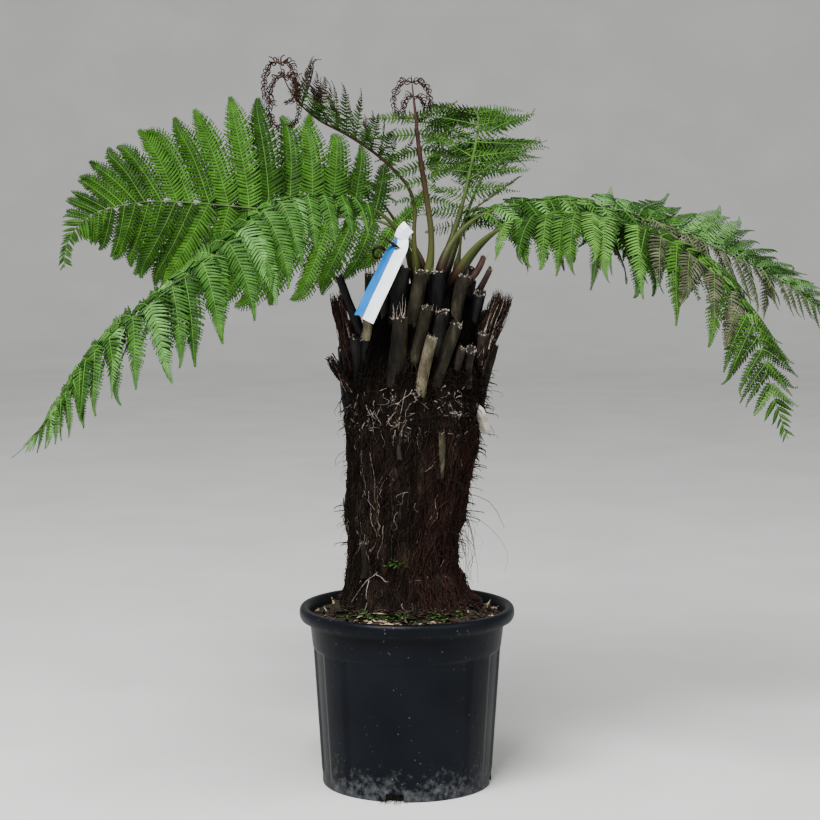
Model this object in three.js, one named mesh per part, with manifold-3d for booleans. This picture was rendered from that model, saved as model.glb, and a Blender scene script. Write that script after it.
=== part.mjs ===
// Soft tree fern in a nursery pot, 1.2 m tall and 1.35 m across its fronds.
// Millimetres, +Z up, +X to the viewer's right. The origin is the middle of the pot's flat underside.
// The plant stands in its pot as one body. Each piece keeps 0.3 mm clear of what carries it.

import * as THREE from 'three';
import { mergeVertices } from 'three/addons/utils/BufferGeometryUtils.js';
import Module from 'manifold-3d';

const wasm = await Module();
wasm.setup();

const GAP = 0.3;
const GRID = 0.01;
const DEG = Math.PI / 180;
const UP = new THREE.Vector3(0, 0, 1);
const RIGHT = new THREE.Vector3(1, 0, 0);

// Pot: moulded black plastic, with a rolled rim, a plain shoulder and raised ribs down the wall.
const POT = {
  height: 290,
  baseRadius: 141,
  shoulderRadius: 156,
  shoulderDepth: 66,
  shoulderStep: 1,
  shoulderFlare: 5,
  rimRadius: 179,
  rimDepth: 17,
  rimRound: 5,
  rimWidth: 12,
  throatDepth: 8,
  throatFlare: 7,
  innerStep: [10, 4],
  chamfer: 2,
  wall: 3.5,
  floor: 4,
  ribRise: 3,
  ribFoot: 24,
  ribRunOut: 8,
  ribHalfAngle: 8,
  ribEdgeAngle: 3,
  ribTurns: [52, 90, 128],
  front: 270,
  panelStep: 12,
  notches: 4,
  notchWidth: 29,
  notchHeight: 15,
  notchDepth: 60,
  notchAngle: -98,
};

// Potting soil: it fills the pot to 15 mm under the rim.
const SOIL_DEPTH_UNDER_RIM = 15;
const SOIL_TOP = POT.height - SOIL_DEPTH_UNDER_RIM;

// Trunk: a mass of old frond bases and matted roots. Each row is height, middle x and radius.
const TRUNK_OUTLINE = [
  [SOIL_TOP + GAP, 1, 128],
  [292, 0, 118],
  [323, -4, 102],
  [360, -6, 91],
  [409, -6, 92],
  [461, -2, 98],
  [512, 5, 101],
  [562, 10, 107],
  [625, 12, 112],
  [690, 16, 108],
  [750, 22, 96],
  [800, 30, 80],
  [828, 38, 56],
  [842, 46, 0],
];
const TRUNK_SIDES = 36;

// Lumps of matted root: share of the radius, how many round the trunk, and how fast they twist on the way up.
const LUMPS = [[0.02, 3, 90], [0.012, 7, -60], [0.03, 9, 150]];
const FOOT_LUMPS = { share: 0.05, waves: 5, height: 60 };

// Old frond bases, cut off in three tiers round the back and sides of the crown.
const STUB_SIDES = 6;
const STUB_TAPER = 0.9;
const STUB_DRIFT = 0.07;
const STUB_WOBBLE = { turn: 4, top: 13, lean: 3, radius: 1.5 };
const STUB_TIERS = [
  { count: 16, foot: 622, top: 738, footRadius: 104, lean: 11, radius: 11.5, turn: 4 },
  { count: 14, foot: 660, top: 786, footRadius: 90, lean: 10, radius: 12, turn: 13 },
  { count: 12, foot: 700, top: 848, footRadius: 66, lean: 8, radius: 12.5, turn: 0 },
];

// The frond bases in front, from left to right, which fill the sector between two angles. Tip and foot
// are x and z as seen from the front, and reach is how far foot and tip stand out from the trunk's
// middle. Above the crown's level that middle stays where it is.
const FRONT_SECTOR = [188, 352];
const CROWN_LEVEL = 800;
const FRONT_STUBS = [
  { tip: [-83, 749], foot: [-81, 665], reach: [106, 112], radius: 10 },
  { tip: [-63, 779], foot: [-66, 681], reach: [104, 106], radius: 7 },
  { tip: [-50, 803], foot: [-47, 738], reach: [88, 92], radius: 8 },
  { tip: [-31, 850], foot: [-37, 727], reach: [80, 84], radius: 6.5 },
  { tip: [-11, 782], foot: [-21, 678], reach: [106, 112], radius: 12 },
  { tip: [-5, 865], foot: [-19, 740], reach: [76, 84], radius: 11.5 },
  { tip: [24, 858], foot: [10, 740], reach: [76, 84], radius: 11.5 },
  { tip: [34, 801], foot: [8, 706], reach: [100, 104], radius: 10 },
  { tip: [41, 754], foot: [20, 663], reach: [110, 120], radius: 9 },
  { tip: [50, 857], foot: [44, 740], reach: [66, 72], radius: 13 },
  { tip: [57, 793], foot: [49, 727], reach: [94, 98], radius: 11 },
  { tip: [81, 774], foot: [44, 678], reach: [104, 112], radius: 9.5 },
  { tip: [89, 735], foot: [68, 678], reach: [106, 112], radius: 7.5 },
  { tip: [93, 850], foot: [66, 730], reach: [80, 88], radius: 10.5 },
  { tip: [104, 730], foot: [97, 673], reach: [106, 110], radius: 9 },
  { tip: [120, 821], foot: [102, 743], reach: [92, 100], radius: 11 },
  { tip: [127, 754], foot: [110, 665], reach: [106, 112], radius: 9 },
];

// Odd stumps that stand out of the tiers: where they start and end, and how thick they are.
const ODD_STUB_TAPER = 0.7;
const ODD_STUBS = [
  { foot: [-72, -30, 745], tip: [-112, -44, 849], radius: 7.5 },
  { foot: [-90, -20, 690], tip: [-114, -26, 806], radius: 9.5 },
  { foot: [-84, -18, 640], tip: [-116, -24, 694], radius: 8 },
  { foot: [82, -18, 818], tip: [127, -24, 879], radius: 7.5 },
  { foot: [100, 4, 790], tip: [135, 6, 866], radius: 7 },
  { foot: [110, -22, 690], tip: [156, -34, 808], radius: 15 },
];

// Frond: pitch and heading are the rib's angles at even steps from foot to tip, roll turns the blade
// about its rib, fold drops both halves of the blade, droop bends each leaflet down along its length.
const FROND_STEPS = 40;
const RIB_SIDES = 4;
const RIB_TIP = 2.3;
const RIB_SWELLING = { extra: 2.5, end: 0.16 };
const FOOT_SINK = 40;
const SPLIT_MARGIN = 5;
const SOCKET = 0.42;
const CLEAR = 0.8;

// Blade: where the outline is widest, how it narrows to the tip, and how the leaflets close up.
const BLADE = { widestAt: 0.42, power: 4, narrowing: 1.4, first: 0.4, closing: 1.15 };

// Leaflet: its rings stand at shares of its length. The young fronds' last ones are curled right over,
// and turn is how far below the level they point at even steps along them.
const LEAFLET = {
  shortest: 9,
  rootHalf: 2,
  rootThickness: 2.4,
  thinnest: 1.6,
  lengthPerThickness: 90,
  widthOfSpacing: 0.8,
  widthOfLength: 0.24,
  widthExtra: 4,
  sweep: 0.25,
  taper: 0.45,
  shares: [0, 0.22, 1],
};
const CURLED = {
  longer: 1.5,
  turn: [-35, 40, 75, 90, 120, 185],
  width: 9,
  shares: [0, 0.16, 0.36, 0.6, 0.82, 1],
};
const FRONDS = [
  {
    name: 'left_back_frond', root: [23, 0, 869], length: 730, split: 0.24, steps: 14,
    pitch: [71, 4, 5, 5, 2, -20, -97], heading: [168, 162, 161, 163, 169, 174, 184],
    roll: [-50, -84, -84], fold: 0, droop: 0.12,
    blade: 0.09, pairs: 18, widest: 204, base: 0.35, narrowing: 2.2, lean: [95, 54],
    foot: 9, neck: 5.5, color: 0x2f6a1f,
  },
  {
    name: 'left_front_frond', root: [6, -22, 870], length: 890, split: 0.26, steps: 16,
    pitch: [77, 19, -7, -37, -34, -38, -60, -38], heading: [213, 214, 212, 224, 207, 200, 195, 183],
    roll: [10, 0, -18, -25], fold: 50, droop: 0.6,
    blade: 0.14, pairs: 19, widest: 150, base: 0.45, lean: [90, 58], foot: 9, neck: 5.5, color: 0x5ca845,
  },
  {
    name: 'right_back_frond', root: [56, -24, 860], length: 820, split: 0.26, steps: 14,
    pitch: [74, 16, -5, -18, -23, -30, -50], heading: [26, 25, 16, 12, 10, 5, 3],
    roll: [0, 12, 20, 24], fold: 8, droop: 0.4,
    blade: 0.13, pairs: 18, widest: 150, base: 0.45, lean: [92, 58], foot: 13, neck: 7, color: 0x47823a,
  },
  {
    name: 'right_front_frond', root: [88, -32, 860], length: 770, split: 0.26, steps: 16,
    pitch: [61, 15, -6, -24, -48, -76, -69], heading: [342, 335, 331, 337, 342, 337, 353],
    roll: [0, 0, 70], fold: 24, droop: 1.1,
    blade: 0.14, pairs: 17, widest: 158, base: 0.45, lean: [94, 55], foot: 10, neck: 6, color: 0x5ca845,
  },
  {
    name: 'rear_frond', root: [60, 10, 865], length: 780, split: 0.5, steps: 14,
    pitch: [68, 53, 39, 7, -11, -32, -55], heading: [35, 71, 80, 97, 103, 104, 101],
    roll: [0, 0, 0], fold: 30, droop: 0.3,
    blade: 0.14, pairs: 16, widest: 95, base: 0.7, lean: [88, 55], foot: 11, neck: 8, color: 0x2f6a1f,
  },
  {
    name: 'rear_right_frond', root: [71, 45, 863], length: 695, split: 0.42, steps: 14,
    pitch: [65, 66, 25, -4, -5, -20, -37], heading: [41, 34, 78, 99, 96, 95, 94],
    roll: [0, 0, 0], fold: 30, droop: 0.3,
    blade: 0.3, pairs: 12, widest: 80, base: 0.7, lean: [88, 55], foot: 9, neck: 6.5, color: 0x3d7a2c,
  },
  {
    name: 'far_left_frond', root: [8, 44, 862], length: 780, split: 0.3, steps: 14,
    pitch: [66, 34, 12, -8, -26, -44, -60], heading: [122, 128, 132, 134, 138, 142, 146],
    roll: [0, 8, 16], fold: 14, droop: 0.45,
    blade: 0.22, pairs: 16, widest: 158, base: 0.45, lean: [92, 55], foot: 9.5, neck: 5.5, color: 0x356f26,
  },
  {
    name: 'far_right_frond', root: [94, 66, 852], length: 740, split: 0.3, steps: 14,
    pitch: [48, 22, 5, -8, -20, -36, -56], heading: [44, 46, 48, 48, 46, 42, 38],
    roll: [0, -4, -10], fold: 14, droop: 0.4,
    blade: 0.18, pairs: 16, widest: 150, base: 0.45, lean: [92, 55], foot: 9.5, neck: 5.5, color: 0x3d7a2c,
  },
  {
    name: 'young_left_frond', root: [15, -42, 866], length: 440, split: 0.62, steps: 18,
    pitch: [76, 97, 49, 35, 25, 53, 82], heading: [242, 199, 178, 186, 189, 180, 158],
    roll: [0, 0, 0, 0, 85], fold: -52, droop: 0.1,
    blade: 0.4, pairs: 9, widest: 95, base: 0.8, narrowing: 0.2, lean: [80, 64],
    foot: 8, neck: 6, curled: 2, color: 0x46542a,
  },
  {
    name: 'young_middle_frond', root: [36, -52, 860], length: 320, steps: 10,
    pitch: [100, 82, 80, 84, 68], heading: [174, 174, 164, 140, 97],
    roll: [95, 95, 105, 129, 172], fold: -8, droop: 0.5,
    blade: 0.36, pairs: 7, widest: 84, base: 0.75, narrowing: 0.2, lean: [92, 74],
    foot: 11, neck: 9, curled: 2, color: 0x46542a,
  },
  {
    name: 'young_right_frond', root: [84, 22, 866], length: 195, steps: 9,
    pitch: [78, 86, 37, 34, 32], heading: [15, 14, 14, 16, 19],
    roll: [0, 0, 0], fold: -30, droop: 0,
    blade: 0.55, pairs: 5, widest: 24, base: 0.9, lean: [75, 60], foot: 7, neck: 5, color: 0x3a3a24,
  },
];

// Crozier: a frond tip still rolled up, standing low between the stumps.
const CROZIER = {
  root: [-19, -47, 788],
  height: 96,
  lean: 0.15,
  radius: 3.4,
  taper: 0.5,
  stalkShare: 0.5,
  coil: 13,
  coilShrink: 0.55,
  turns: 0.9,
  steps: 26,
  sides: 5,
};

// Label: a bare folded plastic band, looped round one frond stalk and hanging down over the stumps.
const LABEL = {
  frond: 1,
  along: 0.048,
  start: [-3, -6, -1],
  route: [[-16, -62, 892], [-42, -114, 840], [-68, -142, 786]],
  steps: 6,
  outward: [-0.35, -1, 0],
  width: 27,
  fold: 8,
  neck: 0.45,
  thickness: 1.4,
  collar: 15,
  collarWall: 2,
};

// Tag: a small bare plastic slip held by a wire pin in the trunk's right side.
const TAG = {
  angle: -14,
  height: 606,
  width: 14,
  length: 48,
  thickness: 1.2,
  pin: 1.6,
  pinSides: 6,
  pinSunk: 20,
  pinDrop: 6,
  stand: 11,
  inset: 2,
};

// Seeded noise, so that each build is the same.
function seeded(seed) {
  let state = seed;
  return () => {
    state = (state * 1664525 + 1013904223) % 4294967296;
    return state / 4294967296;
  };
}

function lerp(a, b, t) {
  return a + (b - a) * t;
}

// The value at fraction f of a list of values that stand at even steps.
function station(list, f) {
  const x = Math.min(Math.max(f, 0), 1) * (list.length - 1);
  const i = Math.min(Math.floor(x), list.length - 2);
  return lerp(list[i], list[i + 1], x - i);
}

function polar(radius, degrees, z, x = 0) {
  return new THREE.Vector3(x + radius * Math.cos(degrees * DEG), radius * Math.sin(degrees * DEG), z);
}

function signedVolume(points, faces) {
  let sum = 0;
  const cross = new THREE.Vector3();
  for (let i = 0; i < faces.length; i += 3) {
    cross.crossVectors(points[faces[i + 1]], points[faces[i + 2]]);
    sum += points[faces[i]].dot(cross);
  }
  return sum / 6;
}

// Skins a row of rings that have the same number of points. A ring of one point is a tip,
// and an open end gets a fan, so the skin is always closed.
function loft(rings) {
  const points = rings.flat();
  const starts = [];
  rings.reduce((n, ring) => {
    starts.push(n);
    return n + ring.length;
  }, 0);
  const faces = [];
  for (let k = 0; k + 1 < rings.length; k++) {
    const a = rings[k].length;
    const b = rings[k + 1].length;
    const sides = Math.max(a, b);
    for (let i = 0; i < sides; i++) {
      const j = (i + 1) % sides;
      const a0 = starts[k] + (a > 1 ? i : 0);
      const a1 = starts[k] + (a > 1 ? j : 0);
      const b0 = starts[k + 1] + (b > 1 ? i : 0);
      const b1 = starts[k + 1] + (b > 1 ? j : 0);
      if (a > 1) faces.push(a0, a1, b0);
      if (b > 1) faces.push(b0, a1, b1);
    }
  }
  const fan = (start, count, flip) => {
    for (let i = 1; i + 1 < count; i++) {
      faces.push(start, start + (flip ? i + 1 : i), start + (flip ? i : i + 1));
    }
  };
  fan(starts[0], rings[0].length, true);
  fan(starts.at(-1), rings.at(-1).length, false);
  if (signedVolume(points, faces) < 0) faces.reverse();
  const geometry = new THREE.BufferGeometry().setFromPoints(points);
  geometry.setIndex(faces);
  return geometry;
}

function toSolid(geometry) {
  const bare = geometry.clone();
  bare.deleteAttribute('normal');
  bare.deleteAttribute('uv');
  const merged = mergeVertices(bare, 1e-4);
  return new wasm.Manifold(new wasm.Mesh({
    numProp: 3,
    vertProperties: Float32Array.from(merged.attributes.position.array),
    triVerts: Uint32Array.from(merged.index.array),
  }));
}

// Drops loose scraps: the largest body is the piece.
function largest(solid) {
  return solid.decompose().reduce((a, b) => (b.volume() > a.volume() ? b : a));
}

// Snaps corners to a fine grid, and drops the slivers that this closes up.
function snapped(mesh) {
  const snap = Float32Array.from(mesh.vertProperties, (v) => Math.round(v / GRID) * GRID);
  const geometry = new THREE.BufferGeometry();
  geometry.setAttribute('position', new THREE.BufferAttribute(snap, 3));
  geometry.setIndex(new THREE.BufferAttribute(mesh.triVerts, 1));
  const merged = mergeVertices(geometry, GRID / 4);
  const faces = new Map();
  const index = merged.index.array;
  for (let i = 0; i < index.length; i += 3) {
    const [a, b, c] = index.slice(i, i + 3);
    if (a === b || b === c || c === a) continue;
    const key = [a, b, c].sort((p, q) => p - q).join();
    if (faces.has(key)) faces.delete(key);
    else faces.set(key, [a, b, c]);
  }
  merged.setIndex([...faces.values()].flat());
  return merged;
}

function toMesh(name, solid, color, roughness) {
  const material = new THREE.MeshStandardMaterial({ color, roughness, metalness: 0 });
  const node = new THREE.Mesh(snapped(solid.getMesh()), material);
  node.name = name;
  return node;
}

function unite(solids) {
  return solids.reduce((a, b) => a.add(b));
}

// A ring of points round a middle, in the plane of two directions.
function ringAt(middle, across, along, sides, radiusA, radiusB = radiusA, first = 0) {
  return Array.from({ length: sides }, (_, i) => {
    const turn = (i / sides) * 2 * Math.PI + first * DEG;
    return middle.clone()
      .addScaledVector(across, radiusA * Math.cos(turn))
      .addScaledVector(along, radiusB * Math.sin(turn));
  });
}

// A straight tapered peg between two points.
function peg(from, to, radius, endRadius, sides) {
  const axis = to.clone().sub(from).normalize();
  const across = new THREE.Vector3().crossVectors(axis, Math.abs(axis.z) > 0.9 ? RIGHT : UP).normalize();
  const along = new THREE.Vector3().crossVectors(axis, across);
  return toSolid(loft([
    ringAt(from, across, along, sides, radius),
    ringAt(to, across, along, sides, endRadius),
  ]));
}

// The directions round the pot where its skin has corners: both edges of each rib, and a few between.
function potAngles() {
  const angles = [];
  const turns = POT.ribTurns.flatMap((turn) => [POT.front + turn, POT.front - turn]);
  const ribs = turns.map((angle) => angle % 360).sort((a, b) => a - b);
  ribs.forEach((rib, k) => {
    const half = POT.ribHalfAngle;
    const edge = POT.ribEdgeAngle;
    angles.push([rib - half - edge, 0], [rib - half, 1], [rib + half, 1], [rib + half + edge, 0]);
    const start = rib + half + edge;
    const end = ribs[(k + 1) % ribs.length] + (k + 1 === ribs.length ? 360 : 0) - half - edge;
    const steps = Math.round((end - start) / POT.panelStep);
    for (let i = 1; i < steps; i++) {
      angles.push([lerp(start, end, i / steps), 0]);
    }
  });
  return angles;
}

// One level of the pot's skin. Ribs stand out by a share of their full rise.
function potRing(z, radius, ribShare) {
  return potAngles().map(([angle, rise]) => polar(radius + rise * ribShare * POT.ribRise, angle, z));
}

function wallRadius(z) {
  const shoulderFoot = POT.height - POT.shoulderDepth;
  return lerp(POT.baseRadius, POT.shoulderRadius, z / shoulderFoot) - POT.ribRise;
}

// The pot's inside from its floor to its throat, as heights and radii.
function potInside() {
  const step = POT.height - POT.shoulderDepth;
  const [below, above] = POT.innerStep;
  const shoulder = POT.shoulderRadius - POT.wall;
  return [
    [POT.floor, wallRadius(POT.floor) - POT.wall],
    [step - below, wallRadius(step - below) - POT.wall],
    [step + above, shoulder],
    [POT.height - POT.throatDepth, shoulder + POT.throatFlare],
  ];
}

function potSolid() {
  const step = POT.height - POT.shoulderDepth;
  const ribHead = step - POT.ribRunOut;
  const lip = POT.height - POT.rimDepth;
  const shoulder = POT.shoulderRadius + POT.shoulderStep;
  const skin = loft([
    [new THREE.Vector3(0, 0, 0)],
    potRing(0, wallRadius(0) + POT.ribRise - POT.chamfer, 0),
    potRing(POT.chamfer, wallRadius(POT.chamfer) + POT.ribRise, 0),
    potRing(POT.ribFoot, wallRadius(POT.ribFoot), 1),
    potRing(ribHead, wallRadius(ribHead), 1),
    potRing(step, shoulder, 0),
    potRing(lip - POT.chamfer, shoulder + POT.shoulderFlare, 0),
    potRing(lip, POT.rimRadius - POT.chamfer, 0),
    potRing(lip + POT.rimRound, POT.rimRadius, 0),
    potRing(POT.height - POT.rimRound, POT.rimRadius, 0),
    potRing(POT.height, POT.rimRadius - POT.rimRound, 0),
    potRing(POT.height, POT.rimRadius - POT.rimWidth, 0),
    ...potInside().reverse().map(([z, radius]) => potRing(z, radius, 0)),
    [new THREE.Vector3(0, 0, POT.floor)],
  ]);
  let pot = toSolid(skin);
  for (let k = 0; k < POT.notches; k++) {
    const notch = new THREE.BoxGeometry(POT.notchDepth, POT.notchWidth, POT.notchHeight);
    notch.translate(POT.baseRadius, 0, POT.notchHeight / 2 - 1);
    notch.rotateZ((POT.notchAngle + (k * 360) / POT.notches) * DEG);
    pot = pot.subtract(toSolid(notch));
  }
  return largest(pot);
}

function soilSolid() {
  const rows = potInside();
  const [[z0, r0], [z1, r1]] = rows.splice(-2);
  const topRadius = lerp(r0, r1, (SOIL_TOP - z0) / (z1 - z0));
  const fill = [...rows, [z0, r0], [SOIL_TOP, topRadius]];
  fill[0][0] += GAP;
  return toSolid(loft([
    [new THREE.Vector3(0, 0, POT.floor + GAP)],
    ...fill.map(([z, radius]) => potRing(z, radius - SOCKET, 0)),
    [new THREE.Vector3(0, 0, SOIL_TOP)],
  ]));
}

function trunkAt(z) {
  const rows = TRUNK_OUTLINE;
  const k = Math.max(1, rows.findIndex((row) => row[0] >= z));
  const [z0, x0, r0] = rows[k - 1];
  const [z1, x1, r1] = rows[k];
  const t = (z - z0) / (z1 - z0);
  return { x: lerp(x0, x1, t), radius: lerp(r0, r1, t) };
}

// The matted roots' lumps at one place on the trunk. They are strongest at the flared foot.
function trunkLumps(degrees, z) {
  const angle = degrees * DEG;
  const foot = Math.max(0, 1 - (z - SOIL_TOP) / FOOT_LUMPS.height);
  const lumps = LUMPS.map(([share, waves, twist]) => share * Math.sin(waves * angle + z / twist));
  return lumps.reduce((a, b) => a + b) + foot * FOOT_LUMPS.share * Math.sin(FOOT_LUMPS.waves * angle + 1);
}

function trunkBody() {
  const rings = TRUNK_OUTLINE.slice(0, -1).map(([z, x, radius]) => (
    Array.from({ length: TRUNK_SIDES }, (_, i) => {
      const angle = (i / TRUNK_SIDES) * 360;
      return polar(radius * (1 + trunkLumps(angle, z)), angle, z, x);
    })
  ));
  const [topZ, topX] = TRUNK_OUTLINE.at(-1);
  const [footZ, footX] = TRUNK_OUTLINE[0];
  return toSolid(loft([[new THREE.Vector3(footX, 0, footZ)], ...rings, [new THREE.Vector3(topX, 0, topZ)]]));
}

// A place on a front stub, from its x and z and how far it stands out from the trunk's middle.
function frontPlace([x, z], reach) {
  const aside = x - trunkAt(Math.min(z, CROWN_LEVEL)).x;
  return new THREE.Vector3(x, -Math.sqrt(reach * reach - aside * aside), z);
}

function stubSolids() {
  const random = seeded(11);
  const wobble = (size) => (random() * 2 - 1) * size;
  const stubs = [];
  STUB_TIERS.forEach((tier) => {
    for (let i = 0; i < tier.count; i++) {
      const angle = tier.turn + (i / tier.count) * 360 + wobble(STUB_WOBBLE.turn);
      const top = tier.top + wobble(STUB_WOBBLE.top);
      const lean = tier.lean + wobble(STUB_WOBBLE.lean);
      const reach = (top - tier.foot) * Math.tan(lean * DEG);
      const radius = tier.radius + wobble(STUB_WOBBLE.radius);
      if (angle > FRONT_SECTOR[0] && angle < FRONT_SECTOR[1]) continue;
      const { x } = trunkAt(tier.foot);
      const foot = polar(tier.footRadius, angle, tier.foot, x);
      const tip = polar(tier.footRadius + reach, angle, top, x + (top - tier.foot) * STUB_DRIFT);
      stubs.push(peg(foot, tip, radius, radius * STUB_TAPER, STUB_SIDES));
    }
  });
  FRONT_STUBS.forEach(({ foot, tip, reach, radius }) => {
    const ends = [frontPlace(foot, reach[0]), frontPlace(tip, reach[1])];
    stubs.push(peg(...ends, radius, radius * STUB_TAPER, STUB_SIDES));
  });
  ODD_STUBS.forEach((stub) => {
    const foot = new THREE.Vector3(...stub.foot);
    const tip = new THREE.Vector3(...stub.tip);
    stubs.push(peg(foot, tip, stub.radius, stub.radius * ODD_STUB_TAPER, STUB_SIDES));
  });
  return stubs;
}

// A unit vector from its pitch above the level and its heading.
function bearing(pitch, heading) {
  return polar(Math.cos(pitch * DEG), heading, Math.sin(pitch * DEG));
}

// The rib's line: its middle, its direction, and the blade's own side and face directions at each step.
function ribLine(frond) {
  const line = [];
  const at = new THREE.Vector3(...frond.root);
  const step = frond.length / FROND_STEPS;
  for (let k = 0; k <= FROND_STEPS; k++) {
    const f = k / FROND_STEPS;
    const heading = station(frond.heading, f);
    const roll = station(frond.roll, f) * DEG;
    const along = bearing(station(frond.pitch, f), heading);
    const level = polar(1, heading + 90, 0);
    const above = new THREE.Vector3().crossVectors(along, level);
    const side = level.clone().multiplyScalar(Math.cos(roll)).addScaledVector(above, Math.sin(roll));
    const face = above.clone().multiplyScalar(Math.cos(roll)).addScaledVector(level, -Math.sin(roll));
    line.push({ at: at.clone(), along, side, face });
    const middle = (k + 0.5) / FROND_STEPS;
    at.addScaledVector(bearing(station(frond.pitch, middle), station(frond.heading, middle)), step);
  }
  return line;
}

// The rib at fraction f of its length. Below its root the stalk runs straight on into the crown.
function pointOn(line, f) {
  if (f < 0) {
    const { at, along, side, face } = line[0];
    const step = line[1].at.distanceTo(at);
    return { at: at.clone().addScaledVector(along, f * FROND_STEPS * step), along, side, face };
  }
  const x = Math.min(f, 1) * FROND_STEPS;
  const i = Math.min(Math.floor(x), FROND_STEPS - 1);
  const mix = (key) => line[i][key].clone().lerp(line[i + 1][key], x - i);
  return {
    at: mix('at'),
    along: mix('along').normalize(),
    side: mix('side').normalize(),
    face: mix('face').normalize(),
  };
}

function ribRadius(frond, f) {
  const neck = frond.neck / 2;
  const foot = frond.foot / 2 + RIB_SWELLING.extra;
  const nearFoot = Math.min(1, Math.max(0, 1 - f / RIB_SWELLING.end));
  return lerp(Math.max(neck, RIB_TIP), RIB_TIP, f) + (foot - neck) * nearFoot;
}

// A stretch of rib as a tapered bar. With extra thickness it is the tool that clears a seat for it.
function ribSolid(frond, line, [from, to], extra = 0) {
  const steps = Math.max(2, Math.round((to - from) * frond.steps));
  const rings = [];
  for (let k = 0; k <= steps; k++) {
    const f = lerp(from, to, k / steps) - (k === 0 ? extra / frond.length : 0);
    const { at, side, face } = pointOn(line, f);
    rings.push(ringAt(at, side, face, RIB_SIDES, ribRadius(frond, f) + extra, undefined, 45));
  }
  return toSolid(loft(rings));
}

// How long a leaflet is along the blade, as a share of the widest: u runs from blade foot to frond tip.
function bladeOutline(frond, u) {
  const rise = Math.min(1, u / BLADE.widestAt);
  const swell = frond.base + (1 - frond.base) * Math.sin(rise * 90 * DEG);
  return swell * Math.pow(1 - Math.pow(u, BLADE.power), frond.narrowing ?? BLADE.narrowing);
}

// How wide a leaflet is: it nearly fills the spacing, and a short one is narrower.
function leafletWidth(length, spacing) {
  return Math.min(LEAFLET.widthOfSpacing * spacing, LEAFLET.widthOfLength * length + LEAFLET.widthExtra);
}

// One leaflet: a thin lens-shaped blade on a curved middle line, with its root sunk in the rib.
function leafletSolid(frond, line, u, hand, spacing, curled) {
  const { at, along, side, face } = pointOn(line, lerp(frond.blade, 1, u));
  const grown = Math.max(LEAFLET.shortest, frond.widest * bladeOutline(frond, u));
  const length = grown * (curled ? CURLED.longer : 1);
  const lean = lerp(frond.lean[0], frond.lean[1], u) * DEG;
  const fold = frond.fold * DEG;
  const start = along.clone().multiplyScalar(Math.cos(lean))
    .addScaledVector(side, hand * Math.sin(lean) * Math.cos(fold))
    .addScaledVector(face, -Math.sin(lean) * Math.sin(fold));
  const outward = side.clone().multiplyScalar(hand).setZ(0).normalize();
  const width = curled ? CURLED.width : leafletWidth(length, spacing);
  const thickness = Math.max(LEAFLET.thinnest, length / LEAFLET.lengthPerThickness);
  const { shares } = curled ? CURLED : LEAFLET;
  const rings = [];
  const middle = at.clone();
  let previous = 0;
  shares.forEach((share, k) => {
    const bend = (share + previous) / 2;
    const going = start.clone().addScaledVector(UP, -frond.droop * bend);
    going.addScaledVector(along, LEAFLET.sweep * bend).normalize();
    if (curled) {
      const turn = station(CURLED.turn, bend) * DEG;
      going.copy(outward).multiplyScalar(Math.cos(turn)).addScaledVector(UP, -Math.sin(turn));
    }
    middle.addScaledVector(going, length * (share - previous));
    previous = share;
    if (share === 1) {
      rings.push([middle.clone()]);
      return;
    }
    const across = new THREE.Vector3().crossVectors(face, going).normalize();
    const through = new THREE.Vector3().crossVectors(going, across).normalize();
    const half = k === 0 ? LEAFLET.rootHalf : (width / 2) * (1 - LEAFLET.taper * share * share);
    rings.push(ringAt(middle, across, through, 4, half, (k === 0 ? LEAFLET.rootThickness : thickness) / 2));
  });
  return toSolid(loft(rings));
}

// Leaflet places along the blade: even at the foot and closer towards the tip.
function leafletPlaces(frond) {
  const places = [];
  for (let i = 0; i < frond.pairs; i++) {
    places.push(1 - Math.pow(1 - (i + BLADE.first) / frond.pairs, BLADE.closing));
  }
  return places;
}

// The stretches of rib that a frond's solids take: one, or two that part at its bend.
function spansOf(frond) {
  const foot = -FOOT_SINK / frond.length;
  if (!frond.split) return [[foot, 1]];
  return [[foot, frond.split], [frond.split + GAP / frond.length, 1]];
}

// Adds the leaflets to a frond's ribs. One that would come near another solid is left out.
function addLeaflets(frond, line, ribs, others) {
  const parts = [...ribs];
  const places = leafletPlaces(frond);
  places.forEach((u, i) => {
    const f = lerp(frond.blade, 1, u);
    const k = parts.length === 2 && f > frond.split ? 1 : 0;
    if (parts.length === 2 && Math.abs(f - frond.split) * frond.length < SPLIT_MARGIN) return;
    const before = places[i - 1] ?? 0;
    const next = places[i + 1] ?? 1;
    const spacing = ((next - before) / 2) * (1 - frond.blade) * frond.length;
    const curled = i >= frond.pairs - (frond.curled ?? 0);
    [-1, 1].forEach((hand) => {
      const leaflet = leafletSolid(frond, line, u, hand, spacing, curled);
      const near = [...others, ...parts.filter((_, j) => j !== k)];
      if (near.some((other) => leaflet.minGap(other, CLEAR) < CLEAR)) return;
      parts[k] = parts[k].add(leaflet);
    });
  });
  return parts.map(largest);
}

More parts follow.
